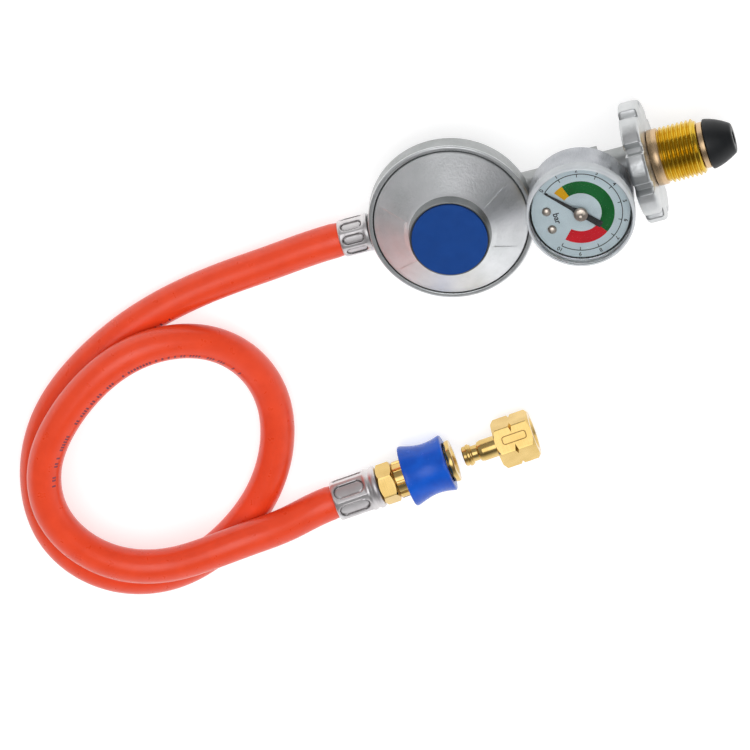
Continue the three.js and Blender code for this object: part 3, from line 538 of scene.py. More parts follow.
def add_hose():
    line = hose_line()
    lengths = [0.0]
    for here, there in zip(line, line[1:]):
        lengths.append(lengths[-1] + (there - here).length)
    total = lengths[-1]
    verts = []
    for i, point in enumerate(line):
        tangent = (line[min(i + 1, len(line) - 1)] - line[max(i - 1, 0)]).normalized()
        inside = Vector((0, 0, 1)).cross(tangent).normalized()
        top = tangent.cross(inside)
        free = min(lengths[i], total - lengths[i]) - CRIMPED_LENGTH
        swell = smooth_step(free, -CRIMP_TAPER, CRIMP_TAPER)
        radius = CRIMPED_RADIUS + (HOSE_RADIUS - CRIMPED_RADIUS) * swell
        for side in range(HOSE_SIDES):
            angle = FULL_TURN * side / HOSE_SIDES
            verts.append(point + radius * (math.cos(angle) * top + math.sin(angle) * inside))
    rows = len(line)
    faces = [
        (i * HOSE_SIDES + side, i * HOSE_SIDES + (side + 1) % HOSE_SIDES,
         (i + 1) * HOSE_SIDES + (side + 1) % HOSE_SIDES, (i + 1) * HOSE_SIDES + side)
        for i in range(rows - 1) for side in range(HOSE_SIDES)
    ]
    sides_only = len(faces)
    faces.append(tuple(range(HOSE_SIDES)))
    faces.append(tuple(range((rows - 1) * HOSE_SIDES, rows * HOSE_SIDES)))
    mesh = bpy.data.meshes.new("hose_tube")
    mesh.from_pydata(verts, [], faces)
    layer = mesh.uv_layers.new(name="UVMap")
    for number, polygon in enumerate(mesh.polygons[:sides_only]):
        i, side = divmod(number, HOSE_SIDES)
        places = ((i, side), (i, side + 1), (i + 1, side + 1), (i + 1, side))
        for loop, (row, column) in zip(polygon.loop_indices, places):
            layer.data[loop].uv = (lengths[row], column / HOSE_SIDES)
    faced_out(mesh, 0)
    hose = in_scene(mesh)
    finish_piece(shade(hose), "hose_tube", hose_rubber(), "root", ("hose",))
    return hose, line


# ---------------------------------------------------------------- casing and cover
FLANGE_R = 33.2
SEAM_R = 31.1


def add_casing():
    bowl = raw_object(*turned(softened([
        (BACK_Z, 0), (BACK_Z, 15), (-14.2, 19.5), (-9.7, 24.5), (-3.5, 28.6), (1.2, 30.2),
        (3.2, FLANGE_R), (11.8, FLANGE_R), (11.8, 0),
    ], 0.9), along_z, 144))
    chamber = raw_object(*turned([
        (-13, 0), (-13, 14), (-12.3, 17), (-8.6, 21.8), (-3.2, 25.8), (1, 27.3), (6, 27.3),
        (6, SEAM_R), (13, SEAM_R), (13, 0),
    ], along_z, 144))
    arm = raw_object(*turned(softened([(24, 0), (24, 7.7), (74.4, 7.7), (74.4, 0)], 0.5), along_x, 96))
    boss = rod_x(6.9, -33.6, -23, 96)
    block = box_object(GAUGE_X - 8, GAUGE_X + 8, -8, 8, -8, 8)
    ears = [box_object(11, 17, side - 1.4, side + 1.4, -14, -6) for side in (-5.6, 5.6)]
    pin_hole = rod_z(1.5, -8, 8)
    pin_hole.data.transform(Matrix.Translation((14, 0, -8.5)) @ Matrix.Rotation(math.pi / 2, 4, "X"))
    casing = combined(bowl, [arm, boss, block], "UNION")
    casing = combined(casing, [chamber], "DIFFERENCE")
    casing = combined(casing, ears, "UNION")
    bores = [rod_x(4.8, 20, 30), rod_x(2.6, 29, 67), rod_x(6.3, 65, 76), rod_x(4.6, -35, -24.2),
             rod_x(2.6, -25, -20), rod_z(5.3, 3.2, 9, (GAUGE_X, 0)), rod_z(1.5, 0, 4, (GAUGE_X, 0)),
             pin_hole]
    casing = cast(combined(casing, bores, "DIFFERENCE"), 0.4, 4)
    casing.data.transform(REGULATOR)
    made = finish_piece(shade(casing, 50), "lower_casing_cast", CASING_ZINC, "root",
                        ("lower_casing",))
    # The flange's top, outside the seam, takes the lighter zinc: painted light.
    two_tone(made, RIM_LIT_ZINC, REGULATOR, lambda at: at.z > 10.9 and at.xy.length > SEAM_R + 0.2)


def add_cover():
    """A cone with a shallow recess on each side, where it passes over the inlet and the outlet."""
    recesses = [(math.radians(-36), math.radians(23)), (math.radians(149), math.radians(208))]
    depth = 0.4
    wall = math.radians(0.8)

    def sunk(angle):
        for low, high in recesses:
            off = abs(angle_off(angle, (low + high) / 2))
            inside = 1 - smooth_step(off, (high - low) / 2 - wall, (high - low) / 2)
            if inside > 0:
                return inside
        return 0

    def on_cone(share):
        place = 12.2 + (21.7 - 12.2) * share
        radius = 30.2 + (17.6 - 30.2) * share
        fade = smooth_step(share, 0.0, 0.5)
        return lambda angle: (place - depth * fade * sunk(angle), radius)

    cone = [on_cone(share / 24) for share in range(1, 24)]
    profile = [
        (7.7, 27.6), (7.7, 30.8), (11.2, 30.8), (11.7, 30.65), (12.1, 30.35), (12.2, 30.2), *cone,
        (21.75, 17.55), (22.1, 17.1), (22.7, 16.5), (23.5, 16.35), (27.1, 16.0), (27.4, 15.9),
        (27.5, 15.7), (27.5, 15.4), (26.3, 15.4), (26.3, 12.3), (21, 12.3), (21, 15.3), (11.2, 27.6),
    ]
    made = turned_piece("cover_shell", profile, REGULATOR, COVER_ZINC, "root",
                        ("upper_cover",), axis=along_z, sides=720, crease=28)
    # The boss round the cap takes the darker zinc: painted shade.
    two_tone(made, BOSS_SHADE_ZINC, REGULATOR, lambda at: at.z > 22.2 and at.xy.length < 16.6)


def add_center_cap():
    profile = softened([(26.6, 0), (26.6, 15.1), (28.6, 15.1), (28.6, 0)], 0.5)
    turned_piece("cap_disc", profile, REGULATOR, CAP_BLUE, "root", ("center_cap",),
                 axis=along_z)


def add_diaphragm():
    """The diaphragm: a turned rubber sheet, in one fixed shape."""
    top = [(7.3, 30.7), (7.3, 27.2), (6.9, 26.2), (5.6, 23.2), (4.9, 21.5), (4.7, 19), (4.7, 1.8)]
    low = [(3.9, 1.8), (3.9, 19), (4.1, 21.3), (4.8, 23.2), (6.0, 26.6), (6.3, 27.8), (6.3, 30.7)]
    made = turned_piece("diaphragm_sheet", softened(top + low, 0.4, True), REGULATOR, SEAL_RUBBER,
                        "root", ("diaphragm",), axis=along_z, sides=96)
    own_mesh(made)


def coil(radius, wire, low, top, turns, axis):
    """The corners and faces of a coil spring."""
    around, steps = 12, int(turns * 40)
    verts = []
    for step in range(steps + 1):
        angle = FULL_TURN * turns * step / steps
        middle = low + (top - low) * step / steps
        for i in range(around):
            turn = FULL_TURN * i / around
            verts.append(axis(middle + wire * math.sin(turn), radius + wire * math.cos(turn), angle))
    faces = [
        (step * around + i, step * around + (i + 1) % around,
         (step + 1) * around + (i + 1) % around, (step + 1) * around + i)
        for step in range(steps) for i in range(around)
    ]
    faces.append(tuple(range(around)))
    faces.append(tuple(range(steps * around, (steps + 1) * around)))
    return verts, faces


def add_spring(name, node, place, axis, size):
    made = shade(raw_object(*coil(*size, axis), place))
    finish_piece(made, name, SPRING_STEEL, "root", (node,))
    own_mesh(made)
    return made


def add_main_spring():
    add_spring("main_coil", "main_spring", REGULATOR, along_z, (9, 0.9, 8.1, 20.1, 5))


def add_coupling_springs():
    sleeve = add_spring("sleeve_coil", "sleeve_spring", COUPLING, along_x, (8.45, 0.5, 33.1, 40.8, 4))
    poppet = add_spring("poppet_coil", "poppet_spring", COUPLING, along_x, (2.6, 0.4, 30.3, 33.3, 3))
    return sleeve, poppet


# ---------------------------------------------------------------- inlet
WHEEL_R = 24.8
WHEEL_LOBES = 9
WHEEL_PHASE = math.radians(16)
WHEEL_LEFT = 75.3
WHEEL_RIGHT = 82.9


def add_handwheel():
    """Wide lobes with narrow notches between them."""
    pitch = FULL_TURN / WHEEL_LOBES

    def outline(angle):
        off = abs((angle - WHEEL_PHASE + pitch / 2) % pitch - pitch / 2) / pitch
        return WHEEL_R - 0.35 * smooth_step(off, 0.1, 0.36) - 2.85 * smooth_step(off, 0.34, 0.44)

    def rim(place, inset):
        return lambda angle: (place, outline(angle) - inset)

    left, right = WHEEL_LEFT, WHEEL_RIGHT
    profile = [
        (left, 9.7), (left, 13.4), (left + 0.3, 13.7), (left + 1.5, 14.2), (left + 1.6, 14.6),
        (left + 1.6, 17.2), (left + 1.4, 17.6), (left + 0.2, 18.2), (left, 18.5),
        rim(left, 1.3), rim(left + 0.1, 0.9), rim(left + 0.4, 0.4), rim(left + 0.9, 0.08),
        rim(left + 1.5, 0), rim(right - 1.5, 0), rim(right - 0.9, 0.08), rim(right - 0.4, 0.4),
        rim(right - 0.1, 0.9), rim(right, 1.3), (right, 13), (right, 9.7),
    ]
    turned_piece("lobed_wheel", profile, REGULATOR, WHEEL_ZINC, "handwheel", ("handwheel",),
                 sides=720, crease=35)


def thread_rings(left, right, pitch, crest, depth, runout, rings_per_pitch=12):
    """Rings of a left-hand thread, whose crests fade over the runout at each end."""
    count = int((right - left) / pitch * rings_per_pitch)

    def ring(place):
        fade = min(1.0, (place - left) / runout, (right - place) / runout)

        def at(angle):
            turn = (place / pitch - angle / FULL_TURN) % 1.0
            ramp = 1 - abs(2 * turn - 1)
            height = min(max((ramp - 0.1) / 0.8, 0.0), 1.0)
            return place, crest - depth * (1 - height * max(fade, 0.0))
        return at

    return [ring(left + (right - left) * i / count) for i in range(count + 1)]


def add_threaded_sleeve():
    left = WHEEL_LEFT + 0.6
    collar = WHEEL_RIGHT + 0.3
    profile = [
        (left, 7.4), (left, 9.4), (collar, 9.4), (collar, 11.05), (collar + 0.3, 11.35),
        (86.9, 11.35), (87.2, 11.1), (87.4, 10.35),
        *thread_rings(87.6, 102.6, 1.814, 11.45, 1.1, 0.9),
        (102.8, 10.2), (103, 9.6), (103, 7.4),
    ]
    made = turned_piece("inlet_thread", profile, REGULATOR, THREAD_BRASS, "handwheel",
                        ("threaded_sleeve",), sides=160, crease=60)
    two_tone(made, DULL_BRASS, REGULATOR, lambda at: at.x < 87.35)


def add_spigot():
    profile = softened([
        (67, 2.6), (67, 5.4), (68, 6), (74.5, 6), (74.7, 7), (103.3, 7), (103.3, 9.3), (105.4, 9.3),
        (105.4, 5), (113, 5), (113, 2.6),
    ], 0.25, True)
    turned_piece("spigot", profile, REGULATOR, DULL_BRASS, "root", ("inlet_spigot",))


def add_bullnose():
    profile = softened([
        (105.7, 5.3), (105.7, 10.1), (106.6, 10.1), (108.5, 9.65), (110.9, 8.8), (113.4, 7.6),
        (115.9, 6.1), (116.3, 5.4), (116.3, 2.7), (113.3, 2.7), (113.3, 5.3),
    ], 0.4, True)
    turned_piece("bullnose", profile, REGULATOR, NOSE_RUBBER, "root", ("bullnose_seal",))


# ---------------------------------------------------------------- gauge
DIAL_TOP = 33.6
INK = 0.05  # the thickness of the print on the dial
SCALE_START = math.radians(133.5)
SCALE_END = math.radians(-133.5)
SCALE_BARS = 10


def scale_angle(bars):
    return SCALE_START + (SCALE_END - SCALE_START) * bars / SCALE_BARS


def add_gauge_socket():
    across = 14

    def side(place, share):
        def at(angle):
            return place, min(hexagon_radius(angle, across, 0), across / 2 + share)
        return at

    profile = [
        (4.2, 0), (4.2, 4.4), (4.8, 5), (9.2, 5), (9.2, 6.9), (10, 6.9), side(10, 0),
        side(10.8, 1.2), side(15.8, 1.2), side(16.6, 0), (16.6, 4.6), (21.8, 4.6), (21.8, 0),
    ]
    turned_piece("gauge_stem", profile, GAUGE, BRASS, "root", ("gauge_socket",),
                 axis=along_z, sides=144, start=math.radians(30))


def add_gauge_case():
    profile = softened([
        (17.2, 4.95), (17.2, 20.8), (33.2, 20.8), (33.2, 19.6), (18.4, 19.6), (18.4, 4.95),
    ], 1.0, True, 5)
    turned_piece("gauge_shell", profile, GAUGE, CASE_STEEL, "root", ("gauge_case",),
                 axis=along_z, sides=160)


def add_lens():
    profile = [
        (37.5, 0), (37.5, 19.9), (37.3, 20.1), (33.5, 20.1), (33.5, 21.5), (37.6, 21.5), (38.2, 21.35),
        (38.7, 21.0), (39, 20.4), (39, 0),
    ]
    made = turned_piece("gauge_window", profile, GAUGE, LENS, "root", ("gauge_lens",),
                        axis=along_z, sides=160)
    # The lens's edge takes the grey plastic: painted reflection.
    two_tone(made, LENS_RIM_REFLECTION, GAUGE, lambda at: at.xy.length > 20.3)


def flat_ring(name, inner, outer, start, end, low, top, material):
    """A flat piece of a ring, from one angle to another."""
    steps = max(int(abs(end - start) / math.radians(2)), 1)
    verts = []
    for step in range(steps + 1):
        angle = start + (end - start) * step / steps
        for radius, height in ((inner, low), (outer, low), (outer, top), (inner, top)):
            verts.append(along_z(height, radius, angle))
    faces = [
        (step * 4 + i, step * 4 + (i + 1) % 4, step * 4 + 4 + (i + 1) % 4, step * 4 + 4 + i)
        for step in range(steps) for i in range(4)
    ]
    faces.append((0, 1, 2, 3))
    faces.append(tuple(steps * 4 + i for i in range(4)))
    made = raw_object(verts, faces, GAUGE)
    return finish_piece(made, name, material)


def add_dial():
    plate = softened([(33, 1), (33, 19), (DIAL_TOP, 19), (DIAL_TOP, 1)], 0.1)
    turned_piece("dial_plate", plate, GAUGE, DIAL_PAINT, "root", ("gauge_dial",),
                 axis=along_z, sides=160)
    low, top = DIAL_TOP - 0.01, DIAL_TOP + INK
    zones = [("yellow", DIAL_YELLOW, 0.27, 0.94), ("green", DIAL_GREEN, 0.94, 7.04),
             ("red", DIAL_RED, 7.04, SCALE_BARS)]
    for name, material, first, last in zones:
        flat_ring(f"dial_{name}", 8, 13, scale_angle(first), scale_angle(last), low, top, material)
    flat_ring("dial_scale", 15.85, 16.2, SCALE_START, SCALE_END, low, top, DIAL_INK)
    for bars in range(SCALE_BARS + 1):
        middle = scale_angle(bars)
        half = 0.17 / 15.5
        flat_ring(f"dial_tick_{bars}", 14.7, 15.9, middle - half, middle + half, low, top, DIAL_INK)
        add_dial_text(f"dial_number_{bars}", str(bars), 17.5, middle, 2.2)
    add_dial_text("dial_unit", "bar", 9.6, math.pi, 3.4)


def add_dial_text(name, words, orbit, angle, size):
    """Generic scale figures, whose tops point away from the hub, and the unit, whose top points
    towards it."""
    font = bpy.data.curves.new(name, "FONT")
    font.body = words
    font.size = size
    font.align_x = "CENTER"
    font.align_y = "CENTER"
    font.extrude = INK / 2
    font.offset = 0.02 * size
    text = in_scene(font)
    bpy.context.view_layer.update()
    mesh = bpy.data.meshes.new_from_object(text.evaluated_get(bpy.context.evaluated_depsgraph_get()))
    bpy.data.objects.remove(text)
    up = angle + (math.pi if words == "bar" else 0)
    turn = Matrix.Rotation(up - math.pi / 2, 4, "Z")
    middle = Matrix.Translation((*along_z(0, orbit, angle)[:2], DIAL_TOP + INK / 2))
    mesh.transform(GAUGE @ middle @ turn)
    finish_piece(in_scene(mesh), name, DIAL_INK)


def add_dial_screws():
    for number, angle in enumerate((math.radians(163), math.radians(197)), 1):
        head = DIAL_TOP + 0.3
        profile = [(31.3, 0), (31.3, 0.8), (head, 0.8), (head, 1.7), (head + 0.2, 1.75),
                   (head + 0.6, 1.5), (head + 0.9, 1.0), (head + 1.08, 0.4), (head + 1.1, 0)]
        place = GAUGE @ Matrix.Translation((*along_z(0, 13.2, angle)[:2], 0))
        turned_piece(f"dial_rivet_{number}", profile, place, HUB_STEEL, "root",
                     (f"dial_screw_{number}",), axis=along_z, sides=64)


def add_pointer():
    """The pointer lies along the dial's zero: a slim blade, an eye and a broad tail."""
    low, top = DIAL_TOP + 1.0, DIAL_TOP + 1.4
    half = [(16.5, 0.05), (15.6, 0.28), (4, 0.75), (2.6, 1.2)]
    eye = [along_z(0, 2.4, math.radians(angle))[:2] for angle in range(35, 150, 10)]
    tail = [(-3.4, 1.15), (-9.0, 1.3), (-9.3, 1.1)]
    side = half + eye + tail
    outline = side + [(x, -y) for x, y in reversed(side)]
    middle = [along_z(0, 0.7, FULL_TURN * i / 24)[:2] for i in range(24)]
    build = bmesh.new()
    loops = []
    for points in (outline, middle):
        corners = [build.verts.new((x, y, low)) for x, y in points]
        loops += [build.edges.new(pair) for pair in zip(corners, corners[1:] + corners[:1])]
    filled = bmesh.ops.triangle_fill(build, edges=loops, use_beauty=True)
    flat = [item for item in filled["geom"] if isinstance(item, bmesh.types.BMFace)]
    raised = bmesh.ops.extrude_face_region(build, geom=flat)
    lifted = [item for item in raised["geom"] if isinstance(item, bmesh.types.BMVert)]
    bmesh.ops.translate(build, verts=lifted, vec=(0, 0, top - low))
    bmesh.ops.recalc_face_normals(build, faces=build.faces)
    mesh = bpy.data.meshes.new("pointer_blade")
    build.to_mesh(mesh)
    build.free()
    mesh.transform(GAUGE @ Matrix.Rotation(SCALE_START, 4, "Z"))
    finish_piece(in_scene(mesh), "pointer_blade", POINTER_BLACK, "pointer",
                 ("pointer",))
    cap = [(36.2, 0), (36.2, 0.85), (35.3, 0.85), (35.3, 2.75), (35.6, 2.8), (36.1, 2.75), (36.5, 2.4),
           (36.7, 1.8), (36.8, 0.9), (36.6, 0.5), (36.55, 0)]
    turned_piece("pointer_hub", cap, GAUGE, HUB_STEEL, "pointer", ("pointer_cap",),
                 axis=along_z, sides=96)


# ---------------------------------------------------------------- ferrules
def add_ferrule(name, node, place, ends, shape, pads):
    """A crimped ferrule. The press leaves a flat-bottomed pad in each of its sides."""
    left, right = ends
    count, first, pad_left, pad_right, half_width, depth = pads
    pitch = FULL_TURN / count
    middle = (pad_left + pad_right) / 2
    half_length = (pad_right - pad_left) / 2

    def from_pad(along, angle, radius):
        """How far a point is outside the edge of its pad."""
        across = ((angle - first + pitch / 2) % pitch - pitch / 2) * radius
        past = max(abs(along - middle) - (half_length - half_width), 0)
        return math.hypot(past, across) - half_width

    def pressed(along, angle, radius):
        """How far the press has sunk a point. Its edge leaves a groove round the pad."""
        distance = from_pad(along, angle, radius)
        groove = 0.25 * (1 - smooth_step(abs(distance + 0.25), 0.1, 0.4))
        return depth * (1 - smooth_step(distance, -0.35, 0.25)) + groove

    def flattened(angle):
        off = (angle - first + pitch / 2) % pitch - pitch / 2
        return 1 - math.cos(pitch / 2) / math.cos(off)

    def ring(along, radius):
        """The press also flattens the sides a little over the pads' length."""
        grip = smooth_step(along, left, pad_left + 0.5)
        grip *= 1 - smooth_step(along, pad_right - 0.3, pad_right + 0.9)

        def at(angle):
            sunk = pressed(along, angle, radius) + 0.55 * radius * flattened(angle) * grip
            return along, radius - sunk
        return at

    outer = []
    for (x0, r0), (x1, r1) in zip(shape, shape[1:]):
        steps = max(int((x1 - x0) / 0.22), 1)
        outer += [ring(x0 + (x1 - x0) * i / steps, r0 + (r1 - r0) * i / steps) for i in range(steps)]
    outer.append(ring(*shape[-1]))
    profile = [(left, 6.3), *outer, (right, 4.6), (right - 1, 4.6), (right - 1, 6.3)]
    made = turned_piece(name, profile, place, CRIMP_STEEL, "root", (node,),
                        sides=count * 36, start=first, crease=40)

    # The faces in the groove round each pad take the dark steel: painted shade in the crease.
    def in_crease(at):
        radius = at.yz.length
        return radius > 6.4 and abs(from_pad(at.x, math.atan2(at.y, at.z), radius) + 0.2) < 0.17

    two_tone(made, CREASE_SHADE_STEEL, place, in_crease)
    return made


def add_ferrules():
    first = add_ferrule(
        "regulator_ferrule", "ferrule_regulator_end", REGULATOR, (-46.2, -33.9),
        [(-46.2, 7.1), (-45.9, 7.5), (-45.5, 7.7), (-34.6, 7.7), (-34.1, 7.6), (-33.9, 7.3)],
        (8, math.radians(13.3), -44.8, -36.0, 1.9, 0.4))
    second = add_ferrule(
        "coupling_ferrule", "ferrule_coupling_end", COUPLING, (0, 19.3),
        [(0, 7.9), (0.35, 8.35), (0.9, 8.65), (1.6, 8.8), (14.6, 8.8), (15.4, 8.75), (16.1, 8.3),
         (16.5, 8.2), (16.9, 8.4), (17.3, 8.75), (17.8, 8.85), (18.5, 8.8), (19.0, 8.55), (19.3, 8.1)],
        (6, math.radians(-14), 1.0, 13.9, 3.0, 0.6))
    return first, second


# ---------------------------------------------------------------- coupling
PLUG_TURN = math.radians(30)
TAIL_TURN = math.radians(15)
BALL_RADIUS = 1.25
BALL_ORBIT = 5.9


def hexagon_radius(angle, flats, turn):
    """How far a hexagon's side is from its axis, in a direction. A flat faces the turn."""
    sixth = FULL_TURN / 6
    off = (angle - turn + sixth / 2) % sixth - sixth / 2
    corner = flats / math.sqrt(3)
    return min(flats / 2 / math.cos(off), 0.996 * corner)


def hex_rings(flats, turn, left, right, chamfer, notch=None):
    """Rings of a hexagon along X with turned chamfers, and a V groove round its corners."""
    corner = flats / math.sqrt(3)
    slope = chamfer / (corner - flats / 2)

    def chamfered(edge, way):
        def at(angle):
            radius = hexagon_radius(angle, flats, turn)
            return edge + way * (radius - flats / 2) * slope, radius
        return at

    rings = [(left, flats / 2 - 0.02), chamfered(left, 1)]
    if notch:
        middle, depth, opening = notch

        def grooved(way):
            def at(angle):
                radius = hexagon_radius(angle, flats, turn)
                bottom = corner - depth
                place = middle + way * max(radius - bottom, 0) * opening
                return place, radius if way else min(radius, bottom)
            return at

        rings += [grooved(-1), grooved(0), grooved(1)]
    return rings + [chamfered(right, -1), (right, flats / 2 - 0.02)]


def barbs(left, right, step):
    profile = []
    place = left
    while place < right - step:
        profile += [(place, 3.2), (place + step * 0.7, 3.6), (place + step * 0.85, 3.6)]
        place += step
    return profile


def add_tails():
    """The hose tails that the ferrules clamp the hose onto."""
    outlet = [(-44.8, 2.4), (-44.8, 3), *barbs(-44.2, -34.9, 3.4), (-34.9, 3.6), (-33.9, 4.3),
              (-24.6, 4.3), (-24.6, 2.4)]
    first = turned_piece("regulator_tail", outlet, REGULATOR, BRASS, "root", ("outlet_tail",),
                         sides=64)
    rings = hex_rings(15, TAIL_TURN, 19.6, 26.1, 0.8)
    tail = [(2, 2.4), (2, 3), *barbs(2.6, 17, 3.8), (17, 3.6), (19.6, 3.6), *rings, (26.1, 4.9),
            (29.2, 4.9), (29.2, 2.4)]
    second = turned_piece("hose_tail_hex", tail, COUPLING, BRASS, "root", ("coupling_tail",),
                          sides=144, start=TAIL_TURN)
    return first, second


def ball_place(number):
    """Up is away from the coupling's axis."""
    turn = Matrix.Rotation(math.radians(45 + 90 * number), 4, "X")
    return Matrix.Translation((44.1, 0, 0)) @ turn


def add_coupling_body():
    """The neck has slots along it. The socket behind the mouth takes the plug and its balls."""
    slots = 10

    def neck(place, radius, depth):
        def at(angle):
            pitch = FULL_TURN / slots
            off = abs((angle - TAIL_TURN + pitch / 2) % pitch - pitch / 2) * radius
            return place, radius - depth * (1 - smooth_step(off, 0.55, 0.75))
        return at

    profile = [
        (26.4, 5.2), (26.4, 7.2), (26.6, 7.4), neck(26.7, 7.5, 0), neck(26.9, 7.7, 0.7),
        neck(30.4, 7.7, 0.7), neck(30.6, 7.7, 0), (31.6, 7.7), (31.8, 7.5), (31.8, 7), (50, 7),
        (50, 4.75), (40.8, 4.75), (40.8, 5.9), (39.2, 5.9), (39.2, 4.75), (38.2, 4.75), (38.2, 3.4),
        (37.2, 3.4), (36.8, 5.2),
    ]
    body = raw_object(*turned(profile, along_x, 240))
    holes = []
    for number in range(4):
        hole = rod_z(1.5, 3.5, 8, sides=32)
        hole.data.transform(ball_place(number))
        holes.append(hole)
    body = combined(body, holes, "DIFFERENCE")
    body.data.transform(COUPLING)
    return finish_piece(shade(body), "coupling_barrel", BRASS, "root", ("coupling_body",))


def add_mouth_ring():
    """The ring's back edge is scalloped."""
    scallops = 10

    def back(place, radius, depth):
        def at(angle):
            wave = 0.5 + 0.5 * math.cos(scallops * angle)
            return place + 0.35 * depth * wave, radius - depth * wave
        return at

    profile = [
        (49.3, 7.3), (49.3, 8.0), back(49.35, 8.3, 0.05), back(49.6, 8.6, 0.12), back(50.1, 8.7, 0.06),
        (50.6, 8.7), (51.3, 8.7), (51.5, 8.6), (51.6, 8.4), (51.6, 6.1), (51.5, 5.95), (50.5, 4.85),
        (50.3, 4.85), (50.3, 7.3),
    ]
    return turned_piece("socket_mouth", profile, COUPLING, BRASS, "root", ("mouth_ring",),
                        sides=196)


def add_release_sleeve():
    left, right = 30.9, 48.9
    shape = [
        (left, 11.9), (left + 0.1, 12.3), (left + 0.4, 12.58), (left + 0.9, 12.65), (left + 1.6, 12.55),
        (left + 3, 12.1), (left + 5, 11.5), (left + 7, 11.0), (left + 9, 10.73), (left + 10.5, 10.65),
        (left + 12, 10.72), (left + 14, 10.98), (left + 16, 11.4), (left + 17.1, 11.72),
        (left + 17.6, 11.7), (right - 0.1, 11.4), (right, 11.0),
    ]
    profile = [(left, 9.6), *shape, (right, 8.3), (45.9, 8.3), (45.6, 7.35), (42.2, 7.35), (42.2, 9.6)]
    return turned_piece("blue_sleeve", profile, COUPLING, SLEEVE_BLUE, "release_sleeve",
                        ("release_sleeve",), sides=160)


def add_valve_parts():
    poppet = softened([(30.6, 0), (30.6, 1.2), (34.4, 1.2), (34.4, 4.6), (35.5, 4.6), (35.5, 2.9),
                       (38.8, 2.9), (38.8, 0)], 0.2)
    pin = turned_piece("poppet_pin", poppet, COUPLING, BRASS, "poppet", ("poppet",), sides=64)
    ring = softened([(35.8, 3.2), (35.8, 4.5), (36.6, 4.5), (36.6, 3.2)], 0.25, True)
    washer = turned_piece("poppet_washer", ring, COUPLING, SEAL_RUBBER, "poppet",
                          ("poppet_seal",), sides=96)
    seal = [(40 + 0.6 * math.cos(turn), 5.01 + 0.59 * math.sin(turn))
            for turn in (FULL_TURN * i / 16 for i in range(16))]
    o_ring = turned_piece("socket_o_ring", seal, COUPLING, SEAL_RUBBER, "root",
                          ("coupling_seal",), sides=96)
    return pin, washer, o_ring


def add_balls():
    made = []
    arc = [math.pi * i / 16 for i in range(1, 16)]
    round_side = [(-BALL_RADIUS * math.cos(turn), BALL_RADIUS * math.sin(turn)) for turn in arc]
    profile = [(-BALL_RADIUS, 0), *round_side, (BALL_RADIUS, 0)]
    for number in range(4):
        place = COUPLING @ ball_place(number) @ Matrix.Translation((0, 0, BALL_ORBIT))
        node = f"locking_ball_{number + 1}"
        made.append(turned_piece(f"ball_{number + 1}", profile, place, PLATED_STEEL,
                                 node, (node,), sides=32))
    return made


def add_tail_plug():
    tip = 55.6
    stem = softened([
        (tip, 2.2), (tip, 3.7), (tip + 0.4, 4.1), (tip + 1.7, 4.1), (tip + 1.9, 4.5), (tip + 2.9, 4.5),
        (tip + 3.1, 4.1), (tip + 3.6, 4.1), (tip + 3.85, 3.3), (tip + 6.2, 3.3), (tip + 6.8, 4.1),
        (tip + 8.2, 4.4), (70.2, 4.4),
    ], 0.15)
    hexagon = hex_rings(18, PLUG_TURN, 70.2, 85.9, 1.3, (78, 1.1, 0.7))
    inside = thread_rings(75.6, 85.0, 1.337, 5.7, 0.6, 0.8)
    profile = [
        *stem, *hexagon, (85.9, 6.6), (85.3, 6.0), (85.05, 5.75), *reversed(inside), (75.5, 2.2),
    ]
    made = turned_piece("plug_body", profile, COUPLING, BRASS, "tail_plug", ("tail_plug",),
                        sides=216, start=PLUG_TURN)
    frame_piece = raised_frame()
    return made, frame_piece


def raised_frame():
    """A blank rounded frame, raised on the flat that faces up. Its dark brass is painted shade, for the shaded
    lines along its edges.
    """
    length, width, radius, line, height = 10.4, 3.6, 1.2, 0.4, 0.25
    corners = [(1, 1), (-1, 1), (-1, -1), (1, -1)]
    verts = []
    count = 0
    for number, (sx, sy) in enumerate(corners):
        for step in range(7):
            angle = FULL_TURN * (number + step / 6) / 4
            count += 1
            inner = radius - line
            for reach, level in ((radius, 0), (radius, height), (inner, height), (inner, 0)):
                x = sx * (length / 2 - radius) + reach * math.cos(angle)
                y = sy * (width / 2 - radius) + reach * math.sin(angle)
                verts.append((x, y, level))
    faces = [
        (i * 4 + j, i * 4 + (j + 1) % 4, ((i + 1) % count) * 4 + (j + 1) % 4, ((i + 1) % count) * 4 + j)
        for i in range(count) for j in range(4)
    ]
    flat = Matrix.Translation((78.4, 0, 0)) @ Matrix.Rotation(-PLUG_TURN, 4, "X")
    flat = flat @ Matrix.Translation((0, 0, 8.98))
    made = raw_object(verts, faces, COUPLING @ flat)
    return finish_piece(shade(made), "plug_frame", FRAME_SHADE_BRASS, "tail_plug")


# ---------------------------------------------------------------- CAD nodes that stay
KEPT = {
    "adjusting_screw": BRASS, "diaphragm_plate": PLATED_STEEL, "diaphragm_stem": PLATED_STEEL,
    "lever": PLATED_STEEL, "lever_pin": PLATED_STEEL, "inlet_nozzle": BRASS, "valve_holder": BRASS,
    "valve_pad": SEAL_RUBBER, "gauge_gasket": SEAL_RUBBER, "bourdon_tube": BRASS,
    "movement_frame": BRASS, "pointer_shaft": PLATED_STEEL, "sector_gear": BRASS, "sector_link": BRASS,
}


def dress_kept_nodes():
    for name, material in KEPT.items():
        node = frame["nodes"][name]
        node.data.materials.clear()
        node.data.materials.append(material)


# ---------------------------------------------------------------- stage
def add_floor():
    floor = box_object(-4, 4, -4, 4, -0.02, -0.0001)
    floor.name = "floor"
    floor.data.materials.append(new_material("floor", (0.5, 0.5, 0.5), 0.7, 0.0,
                                              Emission_Color=(1, 1, 1, 1), Emission_Strength=0.65))


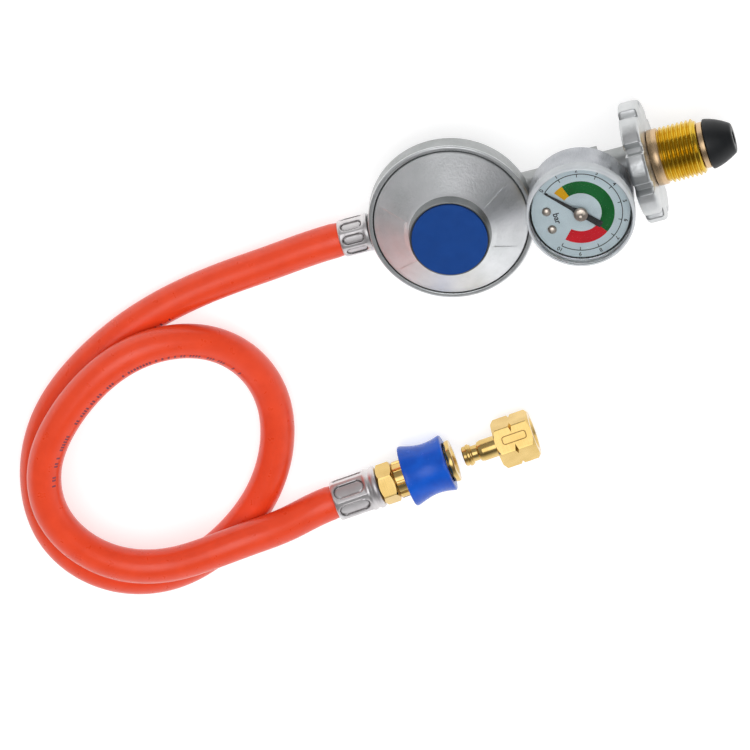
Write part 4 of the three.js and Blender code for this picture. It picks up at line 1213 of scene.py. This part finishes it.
def add_area_light(name, place, size, power, target):
    data = bpy.data.lights.new(name, "AREA")
    data.shape = "RECTANGLE"
    data.size, data.size_y = size
    data.energy = power
    light = bpy.data.objects.new(name, data)
    bpy.context.collection.objects.link(light)
    light.location = place
    light.rotation_mode = "QUATERNION"
    light.rotation_quaternion = (Vector(target) - Vector(place)).to_track_quat("-Z", "Y")
    return light


def add_lights():
    """A large soft light overhead, and a studio that the metal reflects."""
    light = add_area_light("overhead", (0.0, 0.25, 1.9), (2.0, 1.6), 25, LOOK_AT)
    light.visible_glossy = False
    world = bpy.data.worlds.new("studio")
    bpy.context.scene.world = world
    world.use_nodes = True
    nodes = world.node_tree.nodes
    links = world.node_tree.links
    place = nodes.new("ShaderNodeTexCoord")

    def towards(direction, stops):
        """Brightness by how nearly a direction is this one."""
        dot = nodes.new("ShaderNodeVectorMath")
        dot.operation = "DOT_PRODUCT"
        dot.inputs[1].default_value = Vector(direction).normalized()
        links.new(place.outputs["Generated"], dot.inputs[0])
        reach = nodes.new("ShaderNodeMapRange")
        reach.inputs["From Min"].default_value = -1
        links.new(dot.outputs["Value"], reach.inputs["Value"])
        ramp = nodes.new("ShaderNodeValToRGB")
        elements = ramp.color_ramp.elements
        while len(elements) < len(stops):
            elements.new(0.5)
        for element, (along, value) in zip(elements, stops):
            element.position = (along + 1) / 2
            element.color = (value, value, 1.02 * value, 1)
        links.new(reach.outputs["Result"], ramp.inputs["Fac"])
        return ramp.outputs["Color"]

    room = towards((0.1, -0.75, -0.65), [
        (-1, 0.38), (-0.7, 0.32), (-0.3, 0.12), (0.05, 0.45), (0.2, 0.75), (0.65, 1.15),
    ])
    softbox = towards((0, 0.35, 0.94), [(-1, 0), (0.92, 0), (0.955, 1.3), (1, 1.5)])
    total = nodes.new("ShaderNodeMix")
    total.data_type = "RGBA"
    total.blend_type = "ADD"
    total.clamp_result = False
    total.inputs["Factor"].default_value = 1
    links.new(room, total.inputs["A"])
    links.new(softbox, total.inputs["B"])
    links.new(total.outputs["Result"], nodes["Background"].inputs["Color"])


# ---------------------------------------------------------------- making
add_camera()
hose, hose_path = add_hose()
ferrules = add_ferrules()
tails = add_tails()
on_hose = [*ferrules, *tails, add_coupling_body(), add_mouth_ring(), add_release_sleeve()]
on_hose += [*add_coupling_springs(), *add_valve_parts(), *add_balls(), *add_tail_plug()]
add_casing()
add_cover()
add_center_cap()
add_diaphragm()
add_main_spring()
add_handwheel()
add_threaded_sleeve()
add_spigot()
add_bullnose()
add_gauge_socket()
add_gauge_case()
add_dial()
add_dial_screws()
add_pointer()
add_lens()
dress_kept_nodes()
add_floor()
add_lights()
bpy.context.scene.view_settings.view_transform = "Standard"

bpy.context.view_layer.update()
import json
